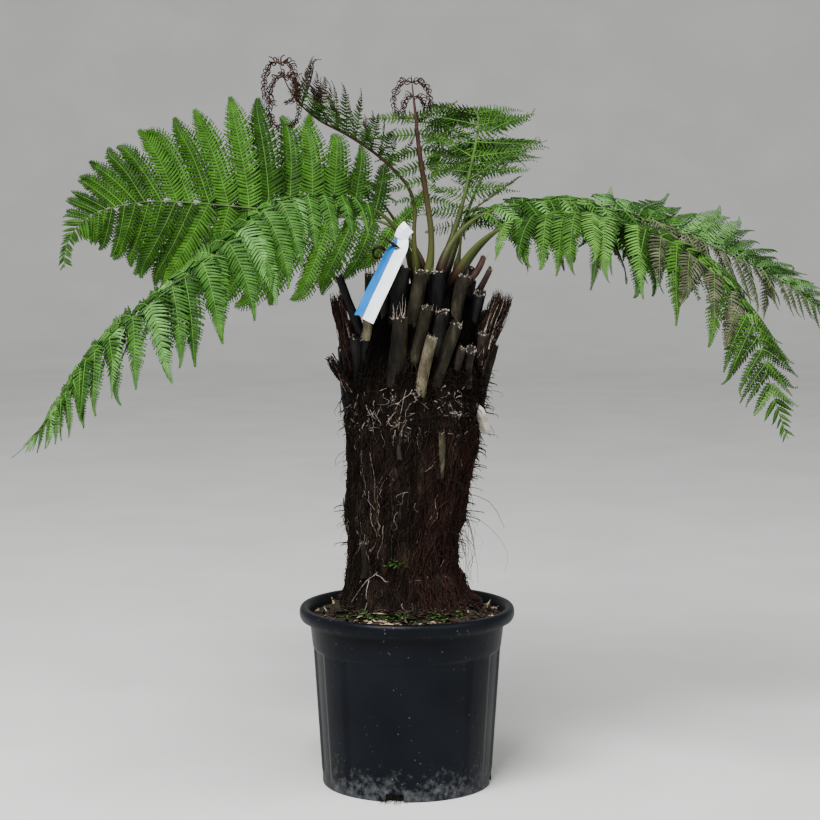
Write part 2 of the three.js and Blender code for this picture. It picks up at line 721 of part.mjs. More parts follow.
// The crozier's stalk and coil as one tapered rod. With extra thickness it is the tool that clears its seat.
function crozierSolid(extra) {
  const stalk = CROZIER.stalkShare;
  const depth = new THREE.Vector3(0, 1, 0);
  const rings = [];
  for (let k = 0; k <= CROZIER.steps; k++) {
    const t = k / CROZIER.steps;
    const turn = Math.max(0, (t - stalk) / (1 - stalk));
    const coil = CROZIER.coil * (1 - CROZIER.coilShrink * turn);
    const angle = turn * CROZIER.turns * 2 * Math.PI;
    const rise = Math.min(1, t / stalk) * CROZIER.height - (k === 0 ? extra : 0);
    const middle = new THREE.Vector3(...CROZIER.root);
    middle.x -= rise * CROZIER.lean;
    middle.z += rise;
    if (turn > 0) {
      middle.x += coil * Math.cos(angle) - CROZIER.coil;
      middle.z += coil * Math.sin(angle);
    }
    const outward = new THREE.Vector3(Math.cos(angle), 0, Math.sin(angle));
    const radius = CROZIER.radius * (1 - CROZIER.taper * t) + extra;
    rings.push(ringAt(middle, outward, depth, CROZIER.sides, radius));
  }
  return toSolid(loft(rings));
}

// The label: a strip folded to a V section that hangs from a collar round its frond's stalk.
function labelSolid(line, frond) {
  const route = new THREE.CatmullRomCurve3(LABEL.route.map((p) => new THREE.Vector3(...p)));
  const start = pointOn(line, LABEL.along).at.add(new THREE.Vector3(...LABEL.start));
  const points = [start, ...route.getPoints(LABEL.steps)];
  const outward = new THREE.Vector3(...LABEL.outward).normalize();
  const rings = points.map((point, k) => {
    const next = points[Math.min(k + 1, points.length - 1)];
    const last = points[Math.max(k - 1, 0)];
    const going = next.clone().sub(last).normalize();
    const across = new THREE.Vector3().crossVectors(going, outward).normalize();
    const face = new THREE.Vector3().crossVectors(across, going).normalize();
    const share = k === 0 ? LABEL.neck : 1;
    const half = (LABEL.width / 2) * share;
    const deep = LABEL.fold * share;
    const t = LABEL.thickness;
    const corners = [[-half, 0], [0, deep], [half, 0], [half, -t], [0, deep - t], [-half, -t]];
    return corners.map(([x, y]) => point.clone().addScaledVector(across, x).addScaledVector(face, y));
  });
  const span = LABEL.collar / frond.length / 2;
  const collar = ribSolid(frond, line, [LABEL.along - span, LABEL.along + span], GAP + LABEL.collarWall);
  const bore = ribSolid(frond, line, spansOf(frond)[0], SOCKET);
  return largest(toSolid(loft(rings)).add(collar).subtract(bore));
}

// The tag on its wire pin, and the hole that clears the pin in the trunk.
function tagSolids() {
  const { x, radius } = trunkAt(TAG.height);
  const out = polar(1, TAG.angle, 0);
  const pinHeight = TAG.height + TAG.length / 2 - TAG.pinDrop;
  const seat = polar(radius - TAG.pinSunk, TAG.angle, pinHeight, x);
  const end = polar(radius + TAG.stand, TAG.angle, pinHeight, x);
  const slip = new THREE.BoxGeometry(TAG.thickness, TAG.width, TAG.length);
  slip.rotateZ(TAG.angle * DEG);
  slip.translate(end.x - out.x * TAG.inset, end.y - out.y * TAG.inset, TAG.height);
  const pin = peg(seat, end, TAG.pin, TAG.pin, TAG.pinSides);
  const holeFoot = seat.clone().addScaledVector(out, -GAP);
  const hole = peg(holeFoot, end, TAG.pin + GAP, TAG.pin + GAP, TAG.pinSides);
  return { tag: pin.add(toSolid(slip)), hole };
}

// Stalks come first. The trunk is cut clear round each of them, and leaflets then keep clear of it all.
const lines = FRONDS.map(ribLine);
const ribs = FRONDS.map((frond, k) => spansOf(frond).map((span) => ribSolid(frond, lines[k], span)));
const sockets = FRONDS.map((frond, k) => ribSolid(frond, lines[k], spansOf(frond)[0], SOCKET));
const { tag, hole } = tagSolids();
const trunk = largest([...sockets, crozierSolid(GAP), hole].reduce(
  (body, tool) => body.subtract(tool), unite([trunkBody(), ...stubSolids()])));
const crozier = crozierSolid(0);
const label = labelSolid(lines[LABEL.frond], FRONDS[LABEL.frond]);

const fern = new THREE.Group();
fern.add(toMesh('pot', potSolid(), 0x15181c, 0.55));
fern.add(toMesh('potting_soil', soilSolid(), 0x2a1d14, 1.0));
fern.add(toMesh('trunk', trunk, 0x1e1714, 1.0));
fern.add(toMesh('crozier', crozier, 0x3a2a26, 0.8));
fern.add(toMesh('label_band', label, 0xd8e2ea, 0.4));
fern.add(toMesh('trunk_tag', tag, 0xe6e0da, 0.5));

const finished = [trunk, crozier, label, tag];
FRONDS.forEach((frond, k) => {
  const otherRibs = ribs.slice(k + 1).flat();
  const parts = addLeaflets(frond, lines[k], ribs[k], [...finished, ...otherRibs]);
  finished.push(...parts);
  const names = parts.length === 2 ? [`${frond.name}_inner`, `${frond.name}_outer`] : [frond.name];
  parts.forEach((part, i) => fern.add(toMesh(names[i], part, frond.color, 0.7)));
});

export default fern;
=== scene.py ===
import math

import bpy
import numpy as np
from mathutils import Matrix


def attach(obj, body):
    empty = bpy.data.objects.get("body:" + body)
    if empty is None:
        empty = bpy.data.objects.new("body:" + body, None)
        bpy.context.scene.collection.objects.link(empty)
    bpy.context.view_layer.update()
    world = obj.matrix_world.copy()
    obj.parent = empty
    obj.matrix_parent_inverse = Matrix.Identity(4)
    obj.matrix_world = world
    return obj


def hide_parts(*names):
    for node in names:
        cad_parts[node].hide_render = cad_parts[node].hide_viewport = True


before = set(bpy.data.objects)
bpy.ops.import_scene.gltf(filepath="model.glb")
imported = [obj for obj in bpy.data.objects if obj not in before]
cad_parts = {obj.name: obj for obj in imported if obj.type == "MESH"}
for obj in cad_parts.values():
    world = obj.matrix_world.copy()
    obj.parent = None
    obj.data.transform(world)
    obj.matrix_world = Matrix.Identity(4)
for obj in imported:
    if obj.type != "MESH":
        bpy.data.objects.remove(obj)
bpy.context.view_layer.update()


# The pot: a nursery container moulded in black plastic, with a rolled rim, a plain shoulder and raised
# bands down its wall. Hard water has left a chalky bloom round its foot. It stands on its flat base.
POT_HEIGHT = 0.296
POT_BASE_RADIUS = 0.141
POT_SHOULDER_RADIUS = 0.156
POT_SHOULDER_FOOT = 0.231
POT_RIM_RADIUS = 0.179
POT_RIM_DEPTH = 0.021
POT_RIM_ROLL = 0.005
POT_LIP = POT_HEIGHT - POT_RIM_DEPTH
POT_WALL = 0.0035
POT_FLOOR = 0.004
POT_EDGE = 0.001
POT_OUT_OF_ROUND = 0.0007
POT_BAND_RISE = 0.003
POT_BAND_FOOT = (0.012, 0.024)
POT_BAND_ANGLES = [52, 90, 128, 232, 270, 308]
POT_BAND_HALF = 8
POT_BAND_EDGE = 4.5
POT_FRONT = 270
POT_NOTCHES = 4
POT_NOTCH_ANGLE = -98
POT_NOTCH = (0.060, 0.029, 0.014)
POT_COLUMNS = 288
TONE_SPREAD = (0.34, 0.66)


def lerp(a, b, t):
    return a + (b - a) * t


def smooth_step(low, high, value):
    t = np.clip((value - low) / (high - low), 0, 1)
    return t * t * (3 - 2 * t)


def grid_faces(rows, columns, closed=True):
    """Triangles of a grid of points, stored row by row, whose columns may close into a ring."""
    last = columns if closed else columns - 1
    r, c = np.meshgrid(np.arange(rows - 1), np.arange(last), indexing="ij")
    a = (r * columns + c).ravel()
    b = (r * columns + (c + 1) % columns).ravel()
    return np.concatenate([np.stack([a, b, b + columns], 1), np.stack([a, b + columns, a + columns], 1)])


def fan_faces(centre, first, columns, flip=False):
    """Triangles from one point to a ring of points."""
    i = np.arange(columns)
    a, b = first + i, first + (i + 1) % columns
    middle = np.full(columns, centre)
    return np.stack([middle, b, a] if flip else [middle, a, b], 1)


def capped_faces(rows, columns):
    """Triangles of a closed skin: rings of points, then the middles of the first and the last ring."""
    count = rows * columns
    return np.concatenate([grid_faces(rows, columns), fan_faces(count, 0, columns, True),
                           fan_faces(count + 1, count - columns, columns)])


def joined(parts):
    """One set of points and faces from several, with a tone for each face."""
    points, faces, tones = [], [], []
    start = 0
    for some_points, some_faces, tone in parts:
        some_points = np.asarray(some_points).reshape(-1, 3)
        points.append(some_points)
        faces.append(np.asarray(some_faces) + start)
        tones.append(np.broadcast_to(tone, len(some_faces)))
        start += len(some_points)
    return np.concatenate(points), np.concatenate(faces), np.concatenate(tones)


def new_piece(name, made, materials, smooth=True):
    """A mesh object from points, triangles and, if given, the number of each triangle's material."""
    mesh = bpy.data.meshes.new(name)
    points = np.asarray(made[0], dtype=np.float32).reshape(-1, 3)
    faces = np.asarray(made[1], dtype=np.int32).reshape(-1, 3)
    mesh.vertices.add(len(points))
    mesh.vertices.foreach_set("co", points.ravel())
    mesh.loops.add(faces.size)
    mesh.loops.foreach_set("vertex_index", faces.ravel())
    mesh.polygons.add(len(faces))
    mesh.polygons.foreach_set("loop_start", np.arange(0, faces.size, 3, dtype=np.int32))
    mesh.update(calc_edges=True)
    mesh.polygons.foreach_set("use_smooth", np.full(len(faces), smooth))
    for material in materials:
        mesh.materials.append(material)
    if len(made) > 2:
        mesh.polygons.foreach_set("material_index", np.asarray(made[2], dtype=np.int32))
    piece = bpy.data.objects.new(name, mesh)
    bpy.context.scene.collection.objects.link(piece)
    return piece


def feed(tree, made, sockets):
    """Gives each of a node's sockets its plain value, or the output that feeds it."""
    for name, value in sockets.items():
        if isinstance(value, bpy.types.NodeSocket):
            tree.links.new(value, made.inputs[name])
        else:
            made.inputs[name].default_value = value
    return made


def node(tree, kind, sockets):
    return feed(tree, tree.nodes.new("ShaderNode" + kind), sockets)


def ramp(tree, stops, source):
    """A colour that runs through its stops, each a position and a tone, as the source rises."""
    made = node(tree, "ValToRGB", {"Fac": source})
    while len(made.color_ramp.elements) < len(stops):
        made.color_ramp.elements.new(0.5)
    for k, (position, tone) in enumerate(stops):
        made.color_ramp.elements[k].position = position
        made.color_ramp.elements[k].color = (*tone, 1)
    return made.outputs["Color"]


def laid_over(tree, share, base, top):
    """One colour laid over another by a share."""
    made = tree.nodes.new("ShaderNodeMix")
    made.data_type = "RGBA"
    return feed(tree, made, {"Factor": share, "A": base, "B": top}).outputs["Result"]


def finish(name, tones, grain, roughness, stretch=(1, 1, 1), bump=0.0, bump_grain=200, specular=0.5,
           coarse=0.5):
    """A finish whose colour wanders between its tones, with a fine relief. stretch draws the grain out."""
    material = bpy.data.materials.new(name)
    material.use_nodes = True
    tree = material.node_tree
    shader = tree.nodes["Principled BSDF"]
    place = tree.nodes.new("ShaderNodeTexCoord")
    mapping = node(tree, "Mapping", {"Scale": stretch, "Vector": place.outputs["Object"]}).outputs["Vector"]
    noise = node(tree, "TexNoise", {"Scale": grain, "Detail": 5, "Roughness": coarse, "Vector": mapping})
    stops = [(lerp(*TONE_SPREAD, k / max(1, len(tones) - 1)), tone) for k, tone in enumerate(tones)]
    tree.links.new(ramp(tree, stops, noise.outputs["Fac"]), shader.inputs["Base Color"])
    shader.inputs["Roughness"].default_value = roughness
    shader.inputs["Specular IOR Level"].default_value = specular
    if bump:
        relief = node(tree, "TexNoise", {"Scale": bump_grain, "Detail": 3, "Vector": mapping})
        lift = node(tree, "Bump", {"Distance": bump, "Height": relief.outputs["Fac"]})
        tree.links.new(lift.outputs["Normal"], shader.inputs["Normal"])
    return material


def pot_wall_radius(z):
    return lerp(POT_BASE_RADIUS, POT_SHOULDER_RADIUS, z / POT_SHOULDER_FOOT) - POT_BAND_RISE


def pot_rows():
    """Height, radius and share of the bands' rise, up the wall, over the rolled rim and down inside."""
    shoulder = POT_SHOULDER_RADIUS + POT_EDGE
    rows = [(0, POT_BASE_RADIUS - 0.002, 0), (0.0006, POT_BASE_RADIUS - 0.0006, 0),
            (0.002, POT_BASE_RADIUS, 0)]
    for z in np.linspace(0.006, 0.03, 9):
        share = smooth_step(*POT_BAND_FOOT, z)
        rows.append((z, lerp(POT_BASE_RADIUS, pot_wall_radius(z), share), share))
    rows += [(z, pot_wall_radius(z), 1) for z in np.linspace(0.04, POT_SHOULDER_FOOT - 0.009, 14)]
    rows += [(POT_SHOULDER_FOOT - 0.007, pot_wall_radius(0.217) + 0.0006, 0.9),
             (POT_SHOULDER_FOOT - 0.0035, pot_wall_radius(0.22) + 0.0022, 0.5),
             (POT_SHOULDER_FOOT - POT_EDGE, shoulder - 0.0004, 0),
             (POT_SHOULDER_FOOT + POT_EDGE, shoulder, 0)]
    for z in np.linspace(POT_SHOULDER_FOOT + 0.007, POT_LIP - 0.002, 6):
        climbed = (z - POT_SHOULDER_FOOT) / (POT_LIP - POT_SHOULDER_FOOT)
        rows.append((z, shoulder + POT_RIM_ROLL * climbed, 0))
    rows += [(POT_LIP - 0.0004, shoulder + 0.008, 0), (POT_LIP, shoulder + 0.013, 0),
             (POT_LIP + 0.0004, POT_RIM_RADIUS - 0.003, 0)]
    for turn in np.radians(np.linspace(-65, 90, 9)):
        rows.append((POT_HEIGHT - POT_RIM_DEPTH / 2 * (1 - math.sin(turn)),
                     POT_RIM_RADIUS - POT_RIM_ROLL * (1 - math.cos(turn)), 0))
    rows += [(POT_HEIGHT - down, POT_RIM_RADIUS - inward, 0)
             for down, inward in ((0, 0.010), (0.001, 0.013), (0.004, 0.0155), (0.010, 0.0185))]
    return rows + [(POT_SHOULDER_FOOT + 0.004, POT_SHOULDER_RADIUS - POT_WALL, 0),
                   (POT_SHOULDER_FOOT - 0.010, pot_wall_radius(0.214) - POT_WALL, 0),
                   (POT_FLOOR, pot_wall_radius(POT_FLOOR) - POT_WALL, 0)]


def pot_mesh():
    angle = np.arange(POT_COLUMNS) / POT_COLUMNS * 360
    band = np.zeros(POT_COLUMNS)
    for middle in POT_BAND_ANGLES:
        off = np.abs((angle - POT_FRONT - middle + 180) % 360 - 180)
        band = np.maximum(band, 1 - smooth_step(POT_BAND_HALF, POT_BAND_HALF + POT_BAND_EDGE, off))
    z, radius, share = (np.array(column, dtype=float)[:, None] for column in zip(*pot_rows()))
    radius = radius + share * band * POT_BAND_RISE
    radius = radius + POT_OUT_OF_ROUND * np.sin(np.radians(angle * 2 + 40)) * z / POT_HEIGHT
    turn = np.radians(angle)[None, :]
    skin = np.stack([radius * np.cos(turn), radius * np.sin(turn), np.broadcast_to(z, radius.shape)], -1)
    points = np.concatenate([skin.reshape(-1, 3), [[0, 0, 0], [0, 0, POT_FLOOR]]])
    return points, capped_faces(len(z), POT_COLUMNS)


def notched(piece):
    """Cuts the drain notches through the foot of the pot."""
    corners = np.array([[x, y, z] for x in (-0.5, 0.5) for y in (-0.5, 0.5) for z in (0, 1)])
    corners = corners * POT_NOTCH + [POT_BASE_RADIUS, 0, -POT_EDGE]
    sides = [(0, 1, 3), (0, 3, 2), (4, 6, 7), (4, 7, 5), (0, 4, 5), (0, 5, 1),
             (2, 3, 7), (2, 7, 6), (0, 2, 6), (0, 6, 4), (1, 5, 7), (1, 7, 3)]
    blocks = []
    for k in range(POT_NOTCHES):
        turn = math.radians(POT_NOTCH_ANGLE + 360 / POT_NOTCHES * k)
        spun = [[math.cos(turn), math.sin(turn), 0], [-math.sin(turn), math.cos(turn), 0], [0, 0, 1]]
        blocks.append((corners @ spun, sides, 0))
    cutter = new_piece("notch_cutter", joined(blocks)[:2], [], smooth=False)
    cut = piece.modifiers.new("notches", "BOOLEAN")
    cut.operation = "DIFFERENCE"
    cut.object = cutter
    made = bpy.data.meshes.new_from_object(piece.evaluated_get(bpy.context.evaluated_depsgraph_get()))
    piece.modifiers.clear()
    piece.data = made
    bpy.data.objects.remove(cutter)


def pot_finish():
    """Black plastic with a soft sheen. A chalky bloom climbs unevenly from the foot, with specks higher up
    and a scuffed line along the rim's lower edge."""
    material = finish("pot_black", [(0.0012, 0.0018, 0.0034), (0.003, 0.004, 0.0066)], 9, 0.42, bump=0.0004,
                      bump_grain=90, specular=0.085)
    tree = material.node_tree
    shader = tree.nodes["Principled BSDF"]
    place = tree.nodes["Texture Coordinate"].outputs["Object"]
    height = node(tree, "SeparateXYZ", {"Vector": place}).outputs["Z"]
    patches = node(tree, "TexNoise", {"Scale": 75, "Detail": 8, "Roughness": 0.68, "Vector": place})
    foot = node(tree, "MapRange", {"From Max": 0.085, "To Min": 0.21, "To Max": -0.12, "Value": height})
    scuffs = ramp(tree, [(POT_LIP - 0.0015, (0, 0, 0)), (POT_LIP + 0.0030, (0.2, 0.2, 0.2)),
                         (POT_LIP + 0.0085, (0, 0, 0))], height)
    dots = node(tree, "TexVoronoi", {"Scale": 90, "Vector": place})
    dot = node(tree, "MapRange", {"From Min": 0.08, "From Max": 0.15, "To Min": 0.40, "To Max": 0.0,
                                  "Value": dots.outputs["Distance"]})
    where = node(tree, "TexNoise", {"Scale": 22, "Vector": place})
    some = node(tree, "MapRange", {"From Min": 0.46, "From Max": 0.54, "Value": where.outputs["Fac"]})
    specks = node(tree, "Math", {0: dot.outputs["Result"], 1: some.outputs["Result"]})
    specks.operation = "MULTIPLY"
    total = patches.outputs["Fac"]
    for extra in (foot.outputs["Result"], scuffs, specks.outputs["Value"]):
        total = node(tree, "Math", {0: total, 1: extra}).outputs["Value"]
    bloom = ramp(tree, [(0.56, (0, 0, 0)), (0.90, (0.62, 0.62, 0.62))], total)
    plain = shader.inputs["Base Color"].links[0].from_socket
    tree.links.new(laid_over(tree, bloom, plain, (0.115, 0.120, 0.125, 1)), shader.inputs["Base Color"])
    dull = node(tree, "MapRange", {"To Min": 0.38, "To Max": 0.95, "Value": bloom})
    tree.links.new(dull.outputs["Result"], shader.inputs["Roughness"])
    return material


pot_shell = new_piece("pot_shell", pot_mesh(), [pot_finish()])
notched(pot_shell)
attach(pot_shell, "root")
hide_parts("pot")


# The soil: bark compost that fills the pot to 15 mm under its rim. The solid below keeps its shape, and
# a crumbled layer lies on it, strewn with bark chips and bits of straw.
SOIL_TOP = 0.275
SOIL_RADIUS = 0.1580
SOIL_CRUMBS = 0.0035
SOIL_CLEAR = 0.0004
SOIL_HEAP = 0.011
SOIL_HEAP_EDGE = (0.150, 0.118)
SOIL_LUMPS = [(0.0022, 14, 3), (0.0016, 40, 4), (0.0009, 110, 5)]
SOIL_RINGS = 26
SOIL_COLUMNS = 220
STREWN_RING = (0.112, 0.153)
CHIP_COUNT = 1500
SLIVER_COUNT = 34
SLIVER_SHAPE = (1.7, 1.9)
STRAW_COUNT = 80
STRAW_TAPER = [0.3, 1, 1, 0.9, 0.7, 0.2]
STRAW_LIMIT = 0.154
BROAD_STRAW_COUNT = 13
BROAD_STRAWS = dict(sector=(-132, -50), ring=(0.122, 0.131), lengths=(0.014, 0.032), thick=(0.0011, 0.0020),
                    astray=0.25)


def wavy(u, v, across, down, seed, wrap=True):
    """Smooth noise from -1 to 1 on a lattice. u and v run from 0 to 1, and u may close into a ring."""
    lattice = np.random.default_rng(seed).uniform(-1, 1, (across + 1, down + 2))
    if wrap:
        lattice[across] = lattice[0]
    x = np.mod(u, 1) * across if wrap else np.clip(u, 0, 1) * (across - 1)
    y = np.clip(v, 0, 1) * down
    i, j = np.minimum(x.astype(int), across - 1), np.minimum(y.astype(int), down)
    fx, fy = x - i, y - j
    fx, fy = fx * fx * (3 - 2 * fx), fy * fy * (3 - 2 * fy)
    top = lerp(lattice[i, j], lattice[i + 1, j], fx)
    return lerp(top, lerp(lattice[i, j + 1], lattice[i + 1, j + 1], fx), fy)


def soil_height(x, y):
    u, v = x / 0.4 + 0.5, y / 0.4 + 0.5
    rise = SOIL_HEAP * smooth_step(*SOIL_HEAP_EDGE, np.hypot(x, y))
    for depth, lumps, seed in SOIL_LUMPS:
        rise = rise + depth * wavy(u, v, lumps, lumps, seed, False)
    return SOIL_TOP + SOIL_CRUMBS + rise


def unit(v):
    return v / np.maximum(np.linalg.norm(v, axis=-1, keepdims=True), 1e-9)


def tubes(paths, radii, sides, caps=True):
    """Tapered tubes along paths. paths is tubes by steps by 3, and radii is tubes by steps."""
    paths = np.asarray(paths, dtype=float)
    count, steps = paths.shape[:2]
    radii = np.broadcast_to(radii, (count, steps))
    along = unit(np.gradient(paths, axis=1))
    thin = np.argmin(np.abs(along.mean(axis=1)), axis=1)
    across = unit(np.cross(along, np.eye(3)[thin][:, None, :]))
    over = np.cross(along, across)
    turn = np.arange(sides) / sides * 2 * math.pi
    ring = across[:, :, None] * np.cos(turn)[:, None] + over[:, :, None] * np.sin(turn)[:, None]
    points = (paths[:, :, None] + radii[:, :, None, None] * ring).reshape(count, -1, 3)
    if caps:
        points = np.concatenate([points, paths[:, :1], paths[:, -1:]], axis=1)
    one = capped_faces(steps, sides) if caps else grid_faces(steps, sides)
    faces = one[None] + (np.arange(count) * points.shape[1])[:, None, None]
    return points.reshape(-1, 3), faces.reshape(-1, 3)


def soil_layer():
    share = np.linspace(0, 1, SOIL_RINGS)[1:] ** 0.7
    turn = np.arange(SOIL_COLUMNS) / SOIL_COLUMNS * 2 * math.pi
    radius = (share * SOIL_RADIUS)[:, None]
    x, y = radius * np.cos(turn), radius * np.sin(turn)
    top = np.stack([x, y, soil_height(x, y)], -1).reshape(-1, 3)
    edge = top[-SOIL_COLUMNS:].copy()
    edge[:, 2] = SOIL_TOP + SOIL_CLEAR
    points = np.concatenate([top, edge, [[0, 0, SOIL_TOP + SOIL_CRUMBS], [0, 0, SOIL_TOP + SOIL_CLEAR]]])
    return points, capped_faces(SOIL_RINGS, SOIL_COLUMNS)[:, ::-1]


def on_soil(count, rng):
    turn = rng.uniform(0, 2 * math.pi, count)
    radius = np.sqrt(rng.uniform(*np.square(STREWN_RING), count))
    x, y = radius * np.cos(turn), radius * np.sin(turn)
    return np.stack([x, y, soil_height(x, y) + rng.uniform(0.0, 0.0016, count)], 1)


def chips(middle, rng, grown=1.0, slender=1.0):
    """Flat crumbs of bark, each a squashed stone of eight faces."""
    count = len(middle)
    spin = rng.uniform(0, 2 * math.pi, count)
    size = (rng.gamma(2.2, 0.0011, count) + 0.0008) * grown
    a = np.stack([np.cos(spin), np.sin(spin), rng.normal(0, 0.3, count)], 1)
    a = a * (size * slender * rng.uniform(1, 2.3, count))[:, None]
    b = np.stack([-np.sin(spin), np.cos(spin), rng.normal(0, 0.3, count)], 1) * (size / slender)[:, None]
    c = unit(np.cross(a, b)) * (size / slender * 0.35)[:, None]
    points = np.stack([middle + a, middle + b, middle - a, middle - b, middle + c, middle - c], 1)
    one = np.array([(0, 1, 4), (1, 2, 4), (2, 3, 4), (3, 0, 4), (1, 0, 5), (2, 1, 5), (3, 2, 5), (0, 3, 5)])
    faces = one[None] + (np.arange(count) * 6)[:, None, None]
    return points.reshape(-1, 3), faces.reshape(-1, 3)


def straws(count, rng, sector=(0, 360), ring=(0.122, 0.150), lengths=(0.006, 0.030), thick=(0.0004, 0.0011),
           astray=0.7):
    """Bits of straw and dead leaf that lie across the soil."""
    turn = np.radians(rng.uniform(*sector, count))
    radius = rng.uniform(*ring, count)
    heading = turn + math.pi / 2 + rng.normal(0, astray, count)
    length = rng.uniform(*lengths, count)
    s = np.linspace(-0.5, 0.5, len(STRAW_TAPER))[None, :]
    x = (radius * np.cos(turn))[:, None] + s * (length * np.cos(heading))[:, None]
    y = (radius * np.sin(turn))[:, None] + s * (length * np.sin(heading))[:, None]
    z = soil_height(x, y) + 0.0013
    shrink = np.minimum(1, STRAW_LIMIT / np.hypot(x, y))
    radii = rng.uniform(*thick, count)[:, None] * STRAW_TAPER
    return tubes(np.stack([x * shrink, y * shrink, z], -1), radii, 4)


soil_dark = finish("soil_dark", [(0.005, 0.004, 0.003), (0.013, 0.010, 0.007), (0.028, 0.021, 0.014)],
                   120, 0.95, bump=0.002, bump_grain=400, specular=0.2)
bark_brown, bark_red = (
    finish(name, tones, 300, 0.9, bump=0.0006, bump_grain=900, specular=0.2)
    for name, tones in (("bark_brown", [(0.006, 0.004, 0.003), (0.025, 0.018, 0.012)]),
                        ("bark_red", [(0.012, 0.007, 0.005), (0.034, 0.020, 0.013)])))
straw_tan = finish("straw_tan", [(0.140, 0.100, 0.056), (0.330, 0.260, 0.160)], 160, 0.8, bump=0.0003,
                   bump_grain=900, specular=0.3)

soil_node = bpy.data.objects["potting_soil"]
for slot_index in range(len(soil_node.material_slots)):
    soil_node.material_slots[slot_index].material = soil_dark

soil_top = new_piece("soil_top", soil_layer(), [soil_dark])
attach(soil_top, "root")

chip_draws = np.random.default_rng(21)
litter = joined([(*chips(on_soil(CHIP_COUNT, chip_draws), chip_draws), 0),
                 (*chips(on_soil(CHIP_COUNT // 2, chip_draws), chip_draws), 1),
                 (*chips(on_soil(CHIP_COUNT // 16, chip_draws), chip_draws), 2),
                 (*chips(on_soil(SLIVER_COUNT, chip_draws), chip_draws, *SLIVER_SHAPE), 2),
                 (*straws(STRAW_COUNT, chip_draws), 2),
                 (*straws(BROAD_STRAW_COUNT, chip_draws, **BROAD_STRAWS), 2)])
soil_litter = new_piece("soil_litter", litter, [bark_brown, bark_red, straw_tan], smooth=False)
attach(soil_litter, "root")


# The trunk: a column of matted roots over the old stem, flared at the soil and widest under the crown.
# Cords of root run down it, and it leans a little to the right. Fine roots cover its skin.
TRUNK_OUTLINE = np.array([
    (0.2753, 0.001, 0.128), (0.292, 0.000, 0.118), (0.323, -0.004, 0.102), (0.360, -0.006, 0.091),
    (0.409, -0.006, 0.092), (0.461, -0.002, 0.098), (0.512, 0.005, 0.101), (0.562, 0.010, 0.107),
    (0.625, 0.012, 0.112), (0.690, 0.016, 0.108), (0.750, 0.022, 0.096), (0.800, 0.030, 0.080),
    (0.828, 0.038, 0.056), (0.842, 0.046, 0.000)])
LUMPS = [(0.02, 3, 0.090), (0.012, 7, -0.060), (0.03, 9, 0.150)]
FOOT_LUMPS = (0.05, 5, 0.060)
ROOT_WANDER = [(0.014, 7, 9, 31), (0.007, 19, 26, 32)]
ROOT_CORDS = (0.0020, 40, 12, 33)
ROOT_RELIEF = [(0.0018, 120, 30, 34), (0.0024, 23, 24, 35), (0.0015, 150, 115, 36)]
ROOT_RELIEF_SUNK = 0.0034
# Where the trunk's skin is painted darker among the stubs, as a painted shade, and how much.
SHADE_FROM, SHADE_FULL, SHADE_SHARE = 0.620, 0.690, 0.96
TRUNK_FOOT = 0.2725
TRUNK_TOP = 0.842
TRUNK_COLUMNS = 270
TRUNK_ROWS = 190


def trunk_middle(z):
    return np.interp(z, TRUNK_OUTLINE[:, 0], TRUNK_OUTLINE[:, 1])


def trunk_radius(angle, z):
    """Distance of the trunk's skin from its middle line. angle is in radians."""
    plain = np.interp(z, TRUNK_OUTLINE[:, 0], TRUNK_OUTLINE[:, 2])
    share, waves, height = FOOT_LUMPS
    lumps = np.clip(1 - (z - SOIL_TOP) / height, 0, 1) * share * np.sin(waves * angle + 1)
    for share, waves, twist in LUMPS:
        lumps = lumps + share * np.sin(waves * angle + z / twist)
    v = (z - TRUNK_FOOT) / (TRUNK_TOP - TRUNK_FOOT)
    u = angle / (2 * math.pi)
    u = u + sum(far * wavy(u, v, *lattice) for far, *lattice in ROOT_WANDER)
    depth, *lattice = ROOT_CORDS
    relief = depth * (1 - 2 * np.abs(wavy(u, v, *lattice))) - ROOT_RELIEF_SUNK
    relief = relief + sum(depth * wavy(u, v, *lattice) for depth, *lattice in ROOT_RELIEF)
    return plain * (1 + lumps) + relief * np.clip(plain / 0.03, 0, 1)


def on_trunk(angle, z, lift=0.0):
    radius = trunk_radius(angle, z) + lift
    return np.stack([trunk_middle(z) + radius * np.cos(angle), radius * np.sin(angle), z + 0 * angle], -1)


def trunk_mesh():
    z = np.linspace(TRUNK_FOOT, TRUNK_TOP - 0.002, TRUNK_ROWS)[:, None]
    angle = (np.arange(TRUNK_COLUMNS) / TRUNK_COLUMNS * 2 * math.pi)[None, :]
    skin = on_trunk(*np.broadcast_arrays(angle, z)).reshape(-1, 3)
    middles = [[trunk_middle(end), 0, end] for end in (TRUNK_FOOT, TRUNK_TOP)]
    return np.concatenate([skin, middles]), capped_faces(TRUNK_ROWS, TRUNK_COLUMNS)


root_mat = finish("root_mat", [(0.0025, 0.0018, 0.0014), (0.008, 0.005, 0.004), (0.026, 0.017, 0.012)],
                  60, 0.95, stretch=(1, 1, 0.3), bump=0.004, bump_grain=240, specular=0.03)
root_tree = root_mat.node_tree
root_colour = root_tree.nodes["Principled BSDF"].inputs["Base Color"]
root_place = root_tree.nodes["Texture Coordinate"].outputs["Object"]
# The skin turns near-black from SHADE_FROM up to SHADE_FULL: a painted shade under and between the crown's
# stubs.
root_height = node(root_tree, "SeparateXYZ", {"Vector": root_place}).outputs["Z"]
painted_shade_between_stubs = node(root_tree, "MapRange", {"From Min": SHADE_FROM, "From Max": SHADE_FULL,
                                             "To Max": SHADE_SHARE, "Value": root_height})
root_tree.links.new(laid_over(root_tree, painted_shade_between_stubs.outputs["Result"], root_colour.links[0].from_socket,
                              (0.0010, 0.0008, 0.0007, 1)), root_colour)
trunk_mat = new_piece("trunk_mat", trunk_mesh(), [root_mat])
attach(trunk_mat, "root")


